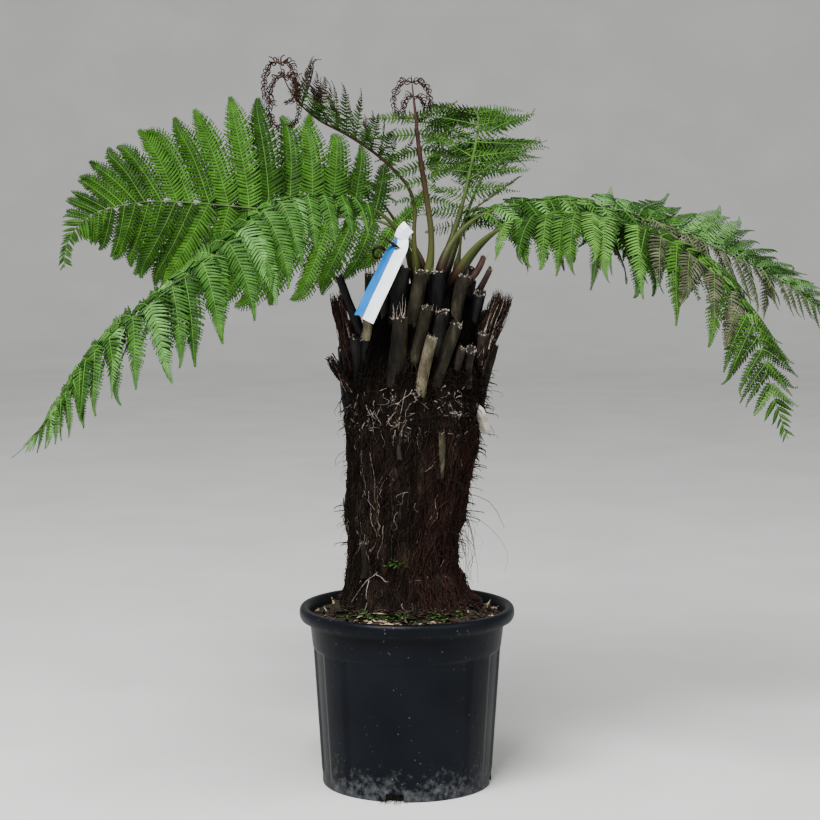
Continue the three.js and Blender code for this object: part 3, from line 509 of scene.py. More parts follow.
# The old frond bases: smooth dark stalks, cut off in tiers round the crown. Their worn ends are pale and
# fibrous, and a few have lost their skin or frayed out. They grow out of the root mat.
STUB_TIERS = [(16, 0.622, 0.738, 0.104, 11, 0.0115, 4), (14, 0.660, 0.786, 0.090, 10, 0.012, 13),
              (12, 0.700, 0.848, 0.066, 8, 0.0125, 0)]
STUB_WOBBLE = (4, 0.013, 3, 0.0015)
STUB_MIX = {"dark": 0.3, "olive": 0.25, "black": 0.15, "brown": 0.15, "tan": 0.08, "torn": 0.07}
STUB_DRIFT = 0.07
FRONT_SECTOR = (188, 352)
CROWN_LEVEL = 0.800
FRONT_STUBS = [
    ((-0.083, 0.749), (-0.081, 0.665), (0.106, 0.112), 0.010, "dark"),
    ((-0.063, 0.779), (-0.066, 0.681), (0.104, 0.106), 0.007, "bare"),
    ((-0.050, 0.803), (-0.047, 0.738), (0.088, 0.092), 0.008, "dark"),
    ((-0.031, 0.850), (-0.037, 0.727), (0.080, 0.084), 0.0065, "olive"),
    ((-0.011, 0.782), (-0.021, 0.678), (0.106, 0.112), 0.012, "torn"),
    ((-0.005, 0.865), (-0.019, 0.740), (0.076, 0.084), 0.0115, "dark"),
    ((0.024, 0.858), (0.010, 0.740), (0.076, 0.084), 0.0115, "olive"),
    ((0.034, 0.801), (0.008, 0.706), (0.100, 0.104), 0.010, "olive"),
    ((0.041, 0.754), (0.020, 0.663), (0.110, 0.120), 0.0082, "tan"),
    ((0.050, 0.857), (0.044, 0.740), (0.066, 0.072), 0.013, "black"),
    ((0.057, 0.793), (0.049, 0.727), (0.094, 0.098), 0.011, "dark"),
    ((0.081, 0.774), (0.044, 0.678), (0.104, 0.112), 0.0095, "olive"),
    ((0.089, 0.735), (0.068, 0.678), (0.106, 0.112), 0.0075, "brown"),
    ((0.093, 0.850), (0.066, 0.730), (0.080, 0.088), 0.0105, "olive"),
    ((0.104, 0.730), (0.097, 0.673), (0.106, 0.110), 0.009, "brown"),
    ((0.120, 0.821), (0.102, 0.743), (0.092, 0.100), 0.011, "black"),
    ((0.127, 0.754), (0.110, 0.665), (0.106, 0.112), 0.009, "brown"),
    ((0.056, 0.599), (0.053, 0.528), (0.114, 0.111), 0.0050, "weathered"),
    ((-0.072, 0.412), (-0.070, 0.360), (0.101, 0.096), 0.006, "olive"),
    ((-0.008, 0.597), (-0.011, 0.560), (0.116, 0.111), 0.004, "brown")]
FRONT_THICKER = 1.12
FOOT_SUNK = 0.010
FOOT_LOWER = 0.006
ODD_STUBS = [
    ((-0.072, -0.030, 0.745), (-0.112, -0.044, 0.849), 0.0075, "black"),
    ((-0.090, -0.020, 0.690), (-0.114, -0.026, 0.806), 0.0095, "frayed"),
    ((-0.084, -0.018, 0.640), (-0.116, -0.024, 0.694), 0.008, "frayed"),
    ((0.082, -0.018, 0.818), (0.127, -0.024, 0.879), 0.0058, "red"),
    ((0.100, 0.004, 0.790), (0.139, 0.006, 0.858), 0.0050, "red"),
    ((0.110, -0.022, 0.690), (0.156, -0.034, 0.808), 0.015, "frayed")]
STUB_SIDES = 20
STUB_RINGS = 22
STUB_BEND = 0.0025
STUB_EDGE = (0.0045, 0.0018)
STUB_CORE = 0.70
STUB_HOLLOW = 0.004
STUB_SPLINTER = 0.0008


def draws(state):
    """The same row of pseudo-random numbers that places the solids' stubs."""
    while True:
        state = (state * 1664525 + 1013904223) % 4294967296
        yield state / 4294967296


def tier_stubs():
    """Foot, tip, radius and kind of the stubs at the back and sides."""
    numbers = draws(11)
    kinds = np.random.default_rng(6)
    lines = []
    for count, foot_z, top_z, foot_radius, lean, radius, turn in STUB_TIERS:
        for i in range(count):
            degrees = turn + i / count * 360 + (next(numbers) * 2 - 1) * STUB_WOBBLE[0]
            top = top_z + (next(numbers) * 2 - 1) * STUB_WOBBLE[1]
            tilt = lean + (next(numbers) * 2 - 1) * STUB_WOBBLE[2]
            thick = radius + (next(numbers) * 2 - 1) * STUB_WOBBLE[3]
            kind = kinds.choice(list(STUB_MIX), p=list(STUB_MIX.values()))
            if FRONT_SECTOR[0] < degrees < FRONT_SECTOR[1]:
                continue
            angle = math.radians(degrees)
            x = float(trunk_middle(foot_z))
            out = foot_radius + (top - foot_z) * math.tan(math.radians(tilt))
            foot = (x + foot_radius * math.cos(angle), foot_radius * math.sin(angle), foot_z)
            tip = (x + (top - foot_z) * STUB_DRIFT + out * math.cos(angle), out * math.sin(angle), top)
            lines.append((foot, tip, thick, str(kind)))
    return lines


def front_place(place, reach):
    x, z = place
    aside = x - float(trunk_middle(min(z, CROWN_LEVEL)))
    return x, -math.sqrt(reach ** 2 - aside ** 2), z


STUB_KINDS = {"dark": 0, "olive": 1, "black": 2, "brown": 3, "tan": 4, "torn": 1, "bare": 4, "red": 5,
              "frayed": 3, "weathered": 7}
PALE_END = 6
WORN_ENDS = {"torn": (26, 0.013, 0.0012), "bare": (18, 0.012, 0.0012), "tan": (26, 0.0035, 0.00055)}
WORN_END = (12, 0.0035, 0.00055)
FRAYED_CORE = 0.62
FRAYED_STRANDS = 260
FRAYED_RADIUS = 0.012
FRAYED_MIX = [0.34, 0.30, 0.27, 0.09]
FRINGE_COUNT = 36


def round_line(along, turn):
    """Directions square to a line, at angles turn round it."""
    across = unit(np.cross(along, [0, 1, 0]))
    return np.cos(turn)[:, None] * across + np.sin(turn)[:, None] * np.cross(along, across)


def stub_mesh(foot, tip, radius, kind, rng):
    """One stub: a slightly bent, fluted stalk with a worn, ragged end, and its tone for each face."""
    foot, tip = np.array(foot), np.array(tip)
    along = unit(tip - foot)
    reach = np.linalg.norm(tip - foot)
    below, edge = STUB_EDGE
    t = np.concatenate([np.linspace(0, 1 - below / reach, STUB_RINGS - 2), [1 - edge / reach, 1]])[:, None]
    bend = rng.normal(0, STUB_BEND, 3) * [1, 1, 0]
    path = foot + (tip - foot) * t + bend * np.sin(t * math.pi)
    turn = np.arange(STUB_SIDES) / STUB_SIDES * 2 * math.pi
    ring = round_line(along, turn)
    flute = 1 + 0.06 * np.sin(2 * turn + rng.uniform(0, 6)) + 0.035 * np.sin(5 * turn + rng.uniform(0, 6))
    knots = 0.035 * np.sin(t * 7 + rng.uniform(0, 6)) + 0.015 * np.sin(t * 23 + rng.uniform(0, 6))
    radii = radius * (1.08 - 0.16 * t + knots) * flute[None]
    radii = radii * (1 + rng.normal(0, 0.012, radii.shape))
    radii[-1] *= 0.90
    skin = path[:, None] + radii[:, :, None] * ring[None]
    slant = rng.normal(0, 0.22, 2)
    ragged = radius * (slant[0] * np.cos(turn) + slant[1] * np.sin(turn))
    ragged = ragged + rng.normal(0, STUB_SPLINTER, STUB_SIDES)
    for row, share in ((-1, 1.0), (-2, 0.95), (-3, 0.8)):
        skin[row] += share * ragged[:, None] * along
    inner = path[-1] + STUB_CORE * radii[-1][:, None] * ring + (ragged[:, None] - 0.0012) * along
    points = np.concatenate([skin.reshape(-1, 3), inner, [path[-1] - STUB_HOLLOW * along]])
    faces = np.concatenate([grid_faces(STUB_RINGS + 1, STUB_SIDES),
                            fan_faces(len(points) - 1, STUB_RINGS * STUB_SIDES, STUB_SIDES)])
    tones = np.full(len(faces), STUB_KINDS[kind])
    column = np.tile(np.arange(STUB_SIDES), STUB_RINGS)
    row = np.repeat(np.arange(STUB_RINGS), STUB_SIDES)
    worn = (row == STUB_RINGS - 1) & (rng.uniform(0, 1, STUB_SIDES)[column] < 0.5)
    worn |= (row == STUB_RINGS - 2) & (rng.uniform(0, 1, len(row)) < 0.22)
    worn |= (row == STUB_RINGS - 3) & (rng.uniform(0, 1, STUB_SIDES)[column] < 0.10)
    tones[:2 * len(row)][np.tile(worn, 2)] = PALE_END
    if kind == "bare":
        tones[:2 * len(row)][np.tile(row < STUB_RINGS * 0.55, 2)] = STUB_KINDS["dark"]
    return points, faces, tones


def strands(starts, ends, radii, rng, steps=7, sway=0.12, sides=3):
    """Loose fibres between two sets of points, each swaying a little off its straight line."""
    t = np.linspace(0, 1, steps)[None, :, None]
    starts, ends = np.asarray(starts)[:, None], np.asarray(ends)[:, None]
    reach = np.linalg.norm(ends - starts, axis=-1, keepdims=True)
    off = rng.normal(0, 1, (len(starts), 1, 3)) * np.sin(t * math.pi)
    off = off + rng.normal(0, 0.6, (len(starts), 1, 3)) * np.sin(t * 2 * math.pi)
    paths = starts + (ends - starts) * t + off * reach * sway * t
    return tubes(paths, np.asarray(radii)[:, None] * (1 - 0.65 * t[:, :, 0]), sides, caps=False)


def ragged_ends(foot, tip, radius, kind, rng):
    """The fibres that stand up from a worn end, or the splinters and strands of a torn or frayed one."""
    foot, tip = np.array(foot), np.array(tip)
    along = unit(tip - foot)

    def disc(count, size, middle):
        turn, out = rng.uniform(0, 2 * math.pi, count), size * np.sqrt(rng.uniform(0.2, 1, count))
        return middle + out[:, None] * round_line(along, turn)

    if kind != "frayed":
        count, height, thick = WORN_ENDS.get(kind, WORN_END)
        starts = disc(count, radius * 0.95, tip - 0.003 * along)
        rise = along * rng.gamma(2.0, height / 2, count)[:, None]
        ends = starts + rise + rng.normal(0, height * 0.35, (count, 3))
        return [(*strands(starts, ends, rng.uniform(0.4, 1, count) * thick, rng, steps=5, sides=4), 3)]
    count = int(FRAYED_STRANDS * radius / FRAYED_RADIUS)
    starts = disc(count, radius * 1.15, foot) + along * rng.uniform(0, 0.09, count)[:, None]
    ends = disc(count, radius * 1.25, tip) + along * rng.normal(0, 0.007, count)[:, None]
    tones = rng.choice(len(FRAYED_MIX), count, p=FRAYED_MIX)
    parts = []
    for tone in range(len(FRAYED_MIX)):
        some = tones == tone
        thick = rng.uniform(0.0005, 0.0016, some.sum())
        parts.append((*strands(starts[some], ends[some], thick, rng, sway=0.05), tone))
    return parts


def foot_fringe(foot, tip, radius, rng):
    """Root fibres that have grown up round the foot of a stub."""
    foot, tip = np.array(foot), np.array(tip)
    along = unit(tip - foot)
    ring = round_line(along, rng.uniform(0, 2 * math.pi, FRINGE_COUNT))
    starts = foot + ring * radius * rng.uniform(0.9, 1.15, (FRINGE_COUNT, 1))
    starts = starts + along * rng.uniform(-0.005, 0.040, (FRINGE_COUNT, 1))
    ends = starts - along * rng.uniform(0.015, 0.040, (FRINGE_COUNT, 1))
    ends = ends + rng.normal(0, 0.007, (FRINGE_COUNT, 3))
    return strands(starts, ends, rng.uniform(0.0005, 0.0011, FRINGE_COUNT), rng, steps=4, sway=0.25)


# Each skin has its tones, grain, roughness, how far the grain is drawn out, the relief's depth and grain,
# and its shine.
STALK_SKINS = {
    "stalk_dark": ([(0.0016, 0.0016, 0.0016), (0.0042, 0.0040, 0.0038), (0.015, 0.0138, 0.0112)],
                   30, 0.5, 0.35, 0.0016, 150, 0.10),
    "stalk_olive": ([(0.0026, 0.0022, 0.0018), (0.0095, 0.0080, 0.0050), (0.032, 0.028, 0.016)],
                    34, 0.6, 0.3, 0.0016, 190, 0.08),
    "stalk_black": ([(0.0010, 0.0010, 0.0012), (0.0028, 0.0029, 0.0034), (0.009, 0.0094, 0.0110)],
                    30, 0.42, 0.4, 0.0014, 150, 0.12),
    "stalk_brown": ([(0.0036, 0.0022, 0.0018), (0.013, 0.008, 0.006), (0.044, 0.030, 0.021)],
                    60, 0.8, 0.22, 0.0018, 220, 0.2),
    "stalk_tan": ([(0.018, 0.015, 0.009), (0.064, 0.055, 0.031), (0.165, 0.148, 0.094)],
                  70, 0.8, 0.25, 0.0018, 260, 0.2),
    "stalk_red": ([(0.007, 0.0035, 0.003), (0.026, 0.0095, 0.007), (0.060, 0.025, 0.018)],
                  60, 0.6, 0.25, 0.0016, 200, 0.3),
    "stalk_weathered": ([(0.008, 0.007, 0.005), (0.026, 0.023, 0.014), (0.072, 0.064, 0.040)],
                        90, 0.8, 0.25, 0.0018, 260, 0.1),
}
stub_skins = [finish(name, tones, grain, roughness, (1, 1, drawn), deep, fine, shine, coarse=0.72)
              for name, (tones, grain, roughness, drawn, deep, fine, shine) in STALK_SKINS.items()]
worn_pale = finish("worn_pale", [(0.035, 0.026, 0.019), (0.120, 0.100, 0.078), (0.320, 0.285, 0.235)],
                   420, 0.9, bump=0.0008, bump_grain=900, specular=0.2)
stub_skins.insert(PALE_END, worn_pale)
fibre_skins = [finish(name, tones, 300, roughness, specular=shine) for name, tones, roughness, shine in (
    ("fibre_dark", [(0.003, 0.0021, 0.0016), (0.011, 0.007, 0.005)], 0.9, 0.08),
    ("fibre_brown", [(0.007, 0.0045, 0.0032), (0.032, 0.021, 0.015)], 0.9, 0.08),
    ("fibre_red", [(0.014, 0.005, 0.004), (0.042, 0.017, 0.013)], 0.9, 0.08),
    ("fibre_pale", [(0.070, 0.054, 0.042), (0.290, 0.250, 0.215)], 0.85, 0.15))]

stub_draws = np.random.default_rng(5)
front_stubs = [(front_place((foot[0], foot[1] - FOOT_LOWER), reach[0] - FOOT_SUNK),
                front_place(tip, reach[1]), thick * FRONT_THICKER, kind)
               for tip, foot, reach, thick, kind in FRONT_STUBS]
stub_parts, end_parts = [], []
for foot, tip, thick, kind in tier_stubs() + front_stubs + ODD_STUBS:
    narrow = FRAYED_CORE if kind == "frayed" else 1.0
    stub_parts.append(stub_mesh(foot, tip, thick * narrow, kind, stub_draws))
    end_parts += ragged_ends(foot, tip, thick, kind, stub_draws)
    end_parts.append((*foot_fringe(foot, tip, thick, stub_draws), stub_draws.choice([0, 0, 1])))
trunk_stubs = new_piece("trunk_stubs", joined(stub_parts), stub_skins)
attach(trunk_stubs, "root")
stub_ends = new_piece("stub_ends", joined(end_parts), fibre_skins)
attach(stub_ends, "root")


# The root fibres: fine dead roots that hang down over the mat, pale curly ones in a band below the
# stubs, reddish ones low on the right, and loose ends that stand off both sides.
FIBRE_STEPS = 7
FIBRE_LOWEST = SOIL_TOP + 0.004
FIBRE_HIGHEST = 0.80


def fibres(count, rng, angles, heights, length, curl, lift, thickness, droop=1.0):
    """Root fibres that wander over the trunk's skin. angles in degrees and the rest in metres."""
    angle = np.radians(rng.uniform(*angles, count))[:, None]
    z = rng.uniform(*heights, count)[:, None]
    reach = rng.uniform(*length, count)[:, None]
    s = np.linspace(0, 1, FIBRE_STEPS)[None, :]
    phase = rng.uniform(0, 6, (count, 1))
    bends = rng.uniform(3, 9, (count, 1))
    sway = rng.normal(0, 1, (count, 1)) * s
    sway = sway + rng.normal(0, 0.5, (count, 1)) * (np.sin(s * bends + phase) - np.sin(phase))
    a = angle + curl * sway * reach / 0.1
    down = droop + curl * rng.normal(0, 1, (count, 1))
    drop = z - s * reach * down + curl * 0.25 * reach * (np.cos(s * bends + phase) - np.cos(phase))
    stand = lift * np.abs(np.sin(s * math.pi + 0.3 * phase)) * rng.uniform(0.1, 1, (count, 1)) + 0.0002
    path = on_trunk(a, np.clip(drop, FIBRE_LOWEST, FIBRE_HIGHEST), stand)
    radius = rng.uniform(*thickness, count)[:, None] * (1 - 0.6 * s)
    return tubes(path, radius, 3, caps=False)


def loose_roots(count, rng, angles, heights, length, stand, thickness=(0.0003, 0.0008)):
    """Rootlets that leave the trunk's side, reach out a little and hang."""
    angle = np.radians(rng.uniform(*angles, count))
    start = on_trunk(angle, rng.uniform(*heights, count), -0.002)
    out = np.stack([np.cos(angle), np.sin(angle), np.zeros(count)], -1)[:, None]
    s = np.linspace(0, 1, FIBRE_STEPS)[None, :, None]
    reach = rng.uniform(*length, count)[:, None, None]
    away = rng.gamma(2.0, stand / 2, count)[:, None, None]
    wave = rng.normal(0, 0.10, (count, 1, 3)) * np.sin(s * rng.uniform(3, 8, (count, 1, 1)))
    path = start[:, None] + out * away * np.sin(s * 1.9) + wave * reach * s
    path[:, :, 2] -= (reach * s ** 1.3)[:, :, 0]
    path[:, :, 2] = np.maximum(path[:, :, 2], FIBRE_LOWEST)
    return tubes(path, rng.uniform(*thickness, count)[:, None] * (1 - 0.6 * s[:, :, 0]), 3, caps=False)


def front_point(x, z, lift):
    """A point on the front of the trunk, a little off its skin."""
    radius = np.interp(z, TRUNK_OUTLINE[:, 0], TRUNK_OUTLINE[:, 2]) + lift
    return x, -math.sqrt(radius ** 2 - (x - float(trunk_middle(z))) ** 2), z


# A pale forked root lies over the left of the flare.
PALE_ROOT = ([front_point(-0.048, 0.366, 0.003), front_point(-0.062, 0.352, 0.006),
              front_point(-0.060, 0.402, 0.001), front_point(-0.052, 0.362, 0.003)],
             [front_point(-0.092, 0.312, 0.004), front_point(-0.066, 0.322, 0.004),
              front_point(-0.078, 0.345, 0.004), front_point(-0.030, 0.352, 0.001)])
# Some roots poke out of the pot's front notch.
NOTCH_ROOTS = 26
NOTCH_SPREAD = 9
NOTCH_REACH = 0.137
NOTCH_ROOT_RADIUS = 0.0006

fibre_draws = np.random.default_rng(8)
mat_fibres = joined([
    (*fibres(2600, fibre_draws, (0, 360), (0.30, 0.73), (0.02, 0.08), 0.16, 0.0035, (0.0004, 0.0011)), 0),
    (*fibres(1700, fibre_draws, (0, 360), (0.30, 0.66), (0.02, 0.08), 0.20, 0.0045, (0.0004, 0.0010)), 1)])
rootlets = joined([
    (*fibres(600, fibre_draws, (-80, 40), (0.30, 0.62), (0.03, 0.09), 0.18, 0.006, (0.0004, 0.0011)), 2),
    (*fibres(150, fibre_draws, (0, 360), (0.30, 0.68), (0.01, 0.04), 0.30, 0.003, (0.0004, 0.0009)), 3),
    (*fibres(150, fibre_draws, (0, 360), (0.590, 0.675), (0.006, 0.016), 0.6, 0.007, (0.0004, 0.0010)), 3),
    (*fibres(34, fibre_draws, (220, 278), (0.602, 0.672), (0.008, 0.020), 0.6, 0.010, (0.0005, 0.0012)), 3),
    (*fibres(16, fibre_draws, (282, 318), (0.620, 0.668), (0.007, 0.015), 0.6, 0.009, (0.0005, 0.0011)), 3),
    (*fibres(20, fibre_draws, (212, 262), (0.38, 0.62), (0.02, 0.08), 0.13, 0.006, (0.0003, 0.0007)), 3),
    (*strands(*PALE_ROOT, np.full(4, 0.0009), fibre_draws, sway=0.10, sides=5), 3),
    (*fibres(420, fibre_draws, (0, 360), (0.600, 0.700), (0.015, 0.04), 0.8, 0.009, (0.0004, 0.0009),
             0.5), 0),
    (*loose_roots(760, fibre_draws, (0, 360), (0.31, 0.74), (0.003, 0.012), 0.009, (0.0006, 0.0014)), 0),
    (*loose_roots(420, fibre_draws, (-50, 40), (0.38, 0.70), (0.003, 0.013), 0.012, (0.0005, 0.0012)), 0),
    (*loose_roots(180, fibre_draws, (-50, 225), (0.36, 0.70), (0.01, 0.035), 0.008), 0),
    (*loose_roots(30, fibre_draws, (-45, 10), (0.42, 0.49), (0.05, 0.12), 0.024), 0)])
notch_angle = np.radians(fibre_draws.uniform(POT_NOTCH_ANGLE - NOTCH_SPREAD, POT_NOTCH_ANGLE + NOTCH_SPREAD,
                                             NOTCH_ROOTS))
notch_start = np.stack([NOTCH_REACH * np.cos(notch_angle), NOTCH_REACH * np.sin(notch_angle),
                        np.full(NOTCH_ROOTS, 0.006)], 1)
notch_end = notch_start * fibre_draws.uniform(1.06, 1.17, (NOTCH_ROOTS, 1))
notch_end = notch_end + fibre_draws.normal(0, 0.004, (NOTCH_ROOTS, 3)) * [1, 1, 0]
notch_end[:, 2] = 0.0012
notch_radii = np.full(NOTCH_ROOTS, NOTCH_ROOT_RADIUS)
rootlets = joined([rootlets, (*strands(notch_start, notch_end, notch_radii, fibre_draws, sway=0.04), 0)])
for piece_name, made in (("trunk_fibres", mat_fibres), ("trunk_rootlets", rootlets)):
    root_piece = new_piece(piece_name, made, fibre_skins)
    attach(root_piece, "root")
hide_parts("trunk")


# The flare's litter: crumbs and chips of bark that have gathered on the foot of the trunk, with cushions
# of green moss that grow on the damp roots there, and one small tuft higher up.
MOSS_PLACES = [(-112, 0.293), (-104, 0.288), (-70, 0.296), (-62, 0.290), (-30, 0.292), (-140, 0.290),
               (-91, 0.296), (-124, 0.298), (-80, 0.288), (-48, 0.297), (15, 0.291), (75, 0.292),
               (130, 0.290), (188, 0.292), (-98, 0.381)]
MOSS_LEAVES = 56
MOSS_SPREAD = (0.009, 0.004, 0.004)
MOSS_GROWN = 0.48


def on_flare(count, rng, heights):
    angle = rng.uniform(0, 2 * math.pi, count)
    return on_trunk(angle, rng.uniform(*heights, count), rng.uniform(0.0005, 0.004, count))


flare_draws = np.random.default_rng(52)
moss_middles = np.concatenate([
    on_trunk(np.radians(degrees), height, 0.003) + flare_draws.normal(0, 1, (MOSS_LEAVES, 3)) * MOSS_SPREAD
    for degrees, height in MOSS_PLACES])
moss_middles[:, 2] = np.maximum(moss_middles[:, 2], SOIL_TOP + 0.006)
flare_litter = joined([(*chips(on_flare(900, flare_draws, (0.279, 0.306)), flare_draws), 0),
                       (*chips(on_flare(240, flare_draws, (0.279, 0.312)), flare_draws), 1),
                       (*chips(on_flare(30, flare_draws, (0.280, 0.302)), flare_draws, 1.3, 1.9), 2),
                       (*chips(moss_middles, flare_draws, MOSS_GROWN), 3)])
moss_green = finish("moss_green", [(0.010, 0.028, 0.005), (0.040, 0.092, 0.016)], 300, 0.8, specular=0.1)
flare_piece = new_piece("flare_litter", flare_litter, [bark_brown, bark_red, straw_tan, moss_green],
                        smooth=False)
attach(flare_piece, "root")


# The mature fronds: a tough rib, brown at its foot and olive to green further out, with leaflets in
# pairs that are cut again into small toothed pinnules. The ribs grow out of seats in the crown.
RIB_STEPS = 160
BLADE_WIDEST_AT = 0.42
BLADE_POWER = 4
BLADE_NARROWING = 1.4
BLADE_CLOSING = 0.7
CLOSEST_LEAFLETS = 0.0042
LEAFLET_STEPS = 17
LEAFLET_SWEEP = 0.25
ARCH_REACH = 0.17
SHORTEST = 0.009
FULL_BEND = 0.10
FOOT_SINK = 0.036
RIB_SWELLING = (0.0022, 0.16)
RIB_TIP = 0.0005
RIB_RINGS = 110
RIB_SIDES = 10
REAR = dict(roll=[0, 0, 0], droop=0.2, base=0.75, lean=(92, 52), tones="deep", dark_tips=0.9,
            twist=[0, 30, 60, 62], full=0.34, step=0.0078, reach_share=0.16, crumple=0.3, unruly=13)
FAR = dict(fold=14, spacing=0.029, base=0.45, lean=(92, 44), foot=0.0095, neck=0.0055, tones="mid",
           arch=1.6, step=0.0068, unruly=6)
FRONDS = {
    "left_back_frond": dict(
        root=(0.023, 0, 0.869), length=0.730, pitch=[71, 4, 5, 5, 2, -20, -97],
        heading=[168, 162, 161, 163, 169, 174, 184], roll=[-50, -84, -84], fold=0, droop=0.12, blade=0.09,
        spacing=0.037, closing=1.0, widest=0.208, base=0.42, narrowing=2.1, lean=(98, 39), lean_plus=(86, 66),
        foot=0.009, neck=0.0068, taper=0.5, tones="deep", reach_share=0.174, profile="broad", crumple=0.09,
        shortest=0.016, unruly=3),
    "left_front_frond": dict(
        root=(0.006, -0.022, 0.870), length=0.890, pitch=[77, 19, -7, -37, -34, -38, -60, -38],
        heading=[213, 214, 212, 224, 207, 200, 195, 183], roll=[10, 0, -18, -25], fold=30, droop=1.4,
        blade=0.14, spacing=0.028, widest=0.172, base=0.45, narrowing=1.2, lean=(90, 40), foot=0.009,
        neck=0.0055, tones="bright", arch=2.0, bare_from=0.95, reach_share=0.156, unruly=6),
    "right_back_frond": dict(
        root=(0.056, -0.024, 0.860), length=0.820, pitch=[74, 16, -5, -18, -23, -30, -50],
        heading=[26, 25, 16, 12, 10, 5, 3], roll=[0, 12, 20, 24], fold=34, fold_plus=[26, 14, -8, -14, -10],
        droop=0.7, droop_plus=0.25, blade=0.13, spacing=0.0205, widest=0.160, base=0.66, narrowing=1.0,
        lean=(90, 46), foot=0.013, neck=0.007, tones="bright", arch=1.2, reach_share=0.158, full=0.66,
        step=0.0066,
        faded=(-1, 0.40, 1.0, 0.97, 0.8), unruly=9),
    "right_front_frond": dict(
        root=(0.088, -0.032, 0.860), length=0.770, pitch=[61, 15, -6, -24, -48, -76, -69],
        heading=[342, 335, 331, 337, 342, 337, 353], roll=[0, 0, 70], fold=24,
        droop=[1.1, 1.1, 1.1, 0.5, 0.1, 0.1],
        blade=0.14, spacing=0.024, widest=0.168, base=0.72, narrowing=1.3, closing=0.42, shortest=0.018,
        lean=(96, 42), foot=0.010, neck=0.006, tones="mid", arch=1.2, full=0.68, step=0.0064,
        faded=(-1, 0.40, 0.66, 0.85, 0.75), unruly=9),
    "rear_frond": dict(
        REAR, root=(0.060, 0.010, 0.865), length=0.780, pitch=[68, 53, 39, 7, -11, -32, -55],
        heading=[35, 71, 80, 97, 103, 104, 101], fold=4, blade=0.08, spacing=0.0180, widest=0.112, foot=0.011,
        neck=0.008),
    "rear_right_frond": dict(
        REAR, root=(0.071, 0.045, 0.863), length=0.695, pitch=[65, 66, 25, -4, -5, -20, -37],
        heading=[41, 34, 78, 99, 96, 95, 94], fold=6, blade=0.2, spacing=0.0165, widest=0.098, foot=0.009,
        neck=0.0065),
    "far_left_frond": dict(
        FAR, root=(0.008, 0.044, 0.862), length=0.780, pitch=[66, 34, 12, -8, -26, -44, -60],
        heading=[122, 128, 132, 134, 138, 142, 146], roll=[0, 8, 16], droop=0.45, blade=0.22, widest=0.158),
    "far_right_frond": dict(
        FAR, root=(0.094, 0.066, 0.852), length=0.740, pitch=[48, 22, 5, -8, -20, -36, -56],
        heading=[44, 46, 48, 48, 46, 42, 38], roll=[0, -4, -10], droop=0.4, blade=0.18, widest=0.150),
}


def station(values, f):
    """The value at fraction f of a list of values that stand at even steps."""
    return np.interp(np.clip(f, 0, 1) * (len(values) - 1), np.arange(len(values)), values)


def follow(s, steps, points):
    """Places at fractions s of a line, whose own points stand at the fractions in steps."""
    return np.stack([np.interp(s, steps, points[:, i]) for i in range(3)], -1)


def walked(start, moves):
    """The line that leaves a place and takes each move in turn."""
    return start + np.concatenate([np.zeros((1, 3)), np.cumsum(moves, axis=0)])


def bearing(pitch, heading):
    p, h = np.radians(pitch), np.radians(heading)
    return np.stack([np.cos(p) * np.cos(h), np.cos(p) * np.sin(h), np.sin(p)], -1)


def rib_line(frond):
    """The rib's middle, its direction, and the blade's own side and face at each step."""
    f = np.arange(RIB_STEPS + 1) / RIB_STEPS
    middle = f[:-1] + 0.5 / RIB_STEPS
    going = bearing(station(frond["pitch"], middle), station(frond["heading"], middle))
    at = walked(frond["root"], going * frond["length"] / RIB_STEPS)
    heading = station(frond["heading"], f)
    along = bearing(station(frond["pitch"], f), heading)
    level = bearing(np.zeros(len(f)), heading + 90)
    above = np.cross(along, level)
    roll = np.radians(station(frond["roll"], f))[:, None]
    side = level * np.cos(roll) + above * np.sin(roll)
    face = above * np.cos(roll) - level * np.sin(roll)
    return dict(f=f, at=at, along=along, side=side, face=face, length=frond["length"])


def on_rib(line, f):
    """The rib at fractions f. Below its root the stalk runs straight on into the crown."""
    f = np.asarray(f, dtype=float)
    place = {key: follow(f, line["f"], line[key]) for key in ("at", "along", "side", "face")}
    place["at"] = place["at"] + np.minimum(f, 0)[..., None] * line["length"] * line["along"][0]
    return place


def rib_mesh(frond, line):
    f = np.concatenate([[-FOOT_SINK / frond["length"]], np.linspace(0, 1, RIB_RINGS)])
    neck = frond["neck"] / 2
    swelling, end = RIB_SWELLING
    radius = lerp(neck, RIB_TIP, np.clip(f, 0, 1) ** frond.get("taper", 0.75))
    radius = radius + (frond["foot"] / 2 + swelling - neck) * np.clip(1 - f / end, 0, 1) ** 1.6
    return tubes(on_rib(line, f)["at"][None], radius[None], RIB_SIDES)


def blade_outline(frond, u):
    rise = np.minimum(1, u / BLADE_WIDEST_AT)
    swell = frond["base"] + (1 - frond["base"]) * np.sin(rise * math.pi / 2)
    return swell * (1 - u ** BLADE_POWER) ** frond.get("narrowing", BLADE_NARROWING)


def leaflet_places(frond):
    """Where the pairs of leaflets stand along the blade. They close up as they grow shorter."""
    reach = (1 - frond["blade"]) * frond["length"]
    places = [0.015]
    while places[-1] < frond.get("bare_from", 0.99):
        short = blade_outline(frond, places[-1]) if places[-1] > BLADE_WIDEST_AT else 1
        closed = frond["spacing"] * short ** frond.get("closing", BLADE_CLOSING)
        places.append(places[-1] + max(CLOSEST_LEAFLETS, closed) / reach)
    return np.array(places[:-1])


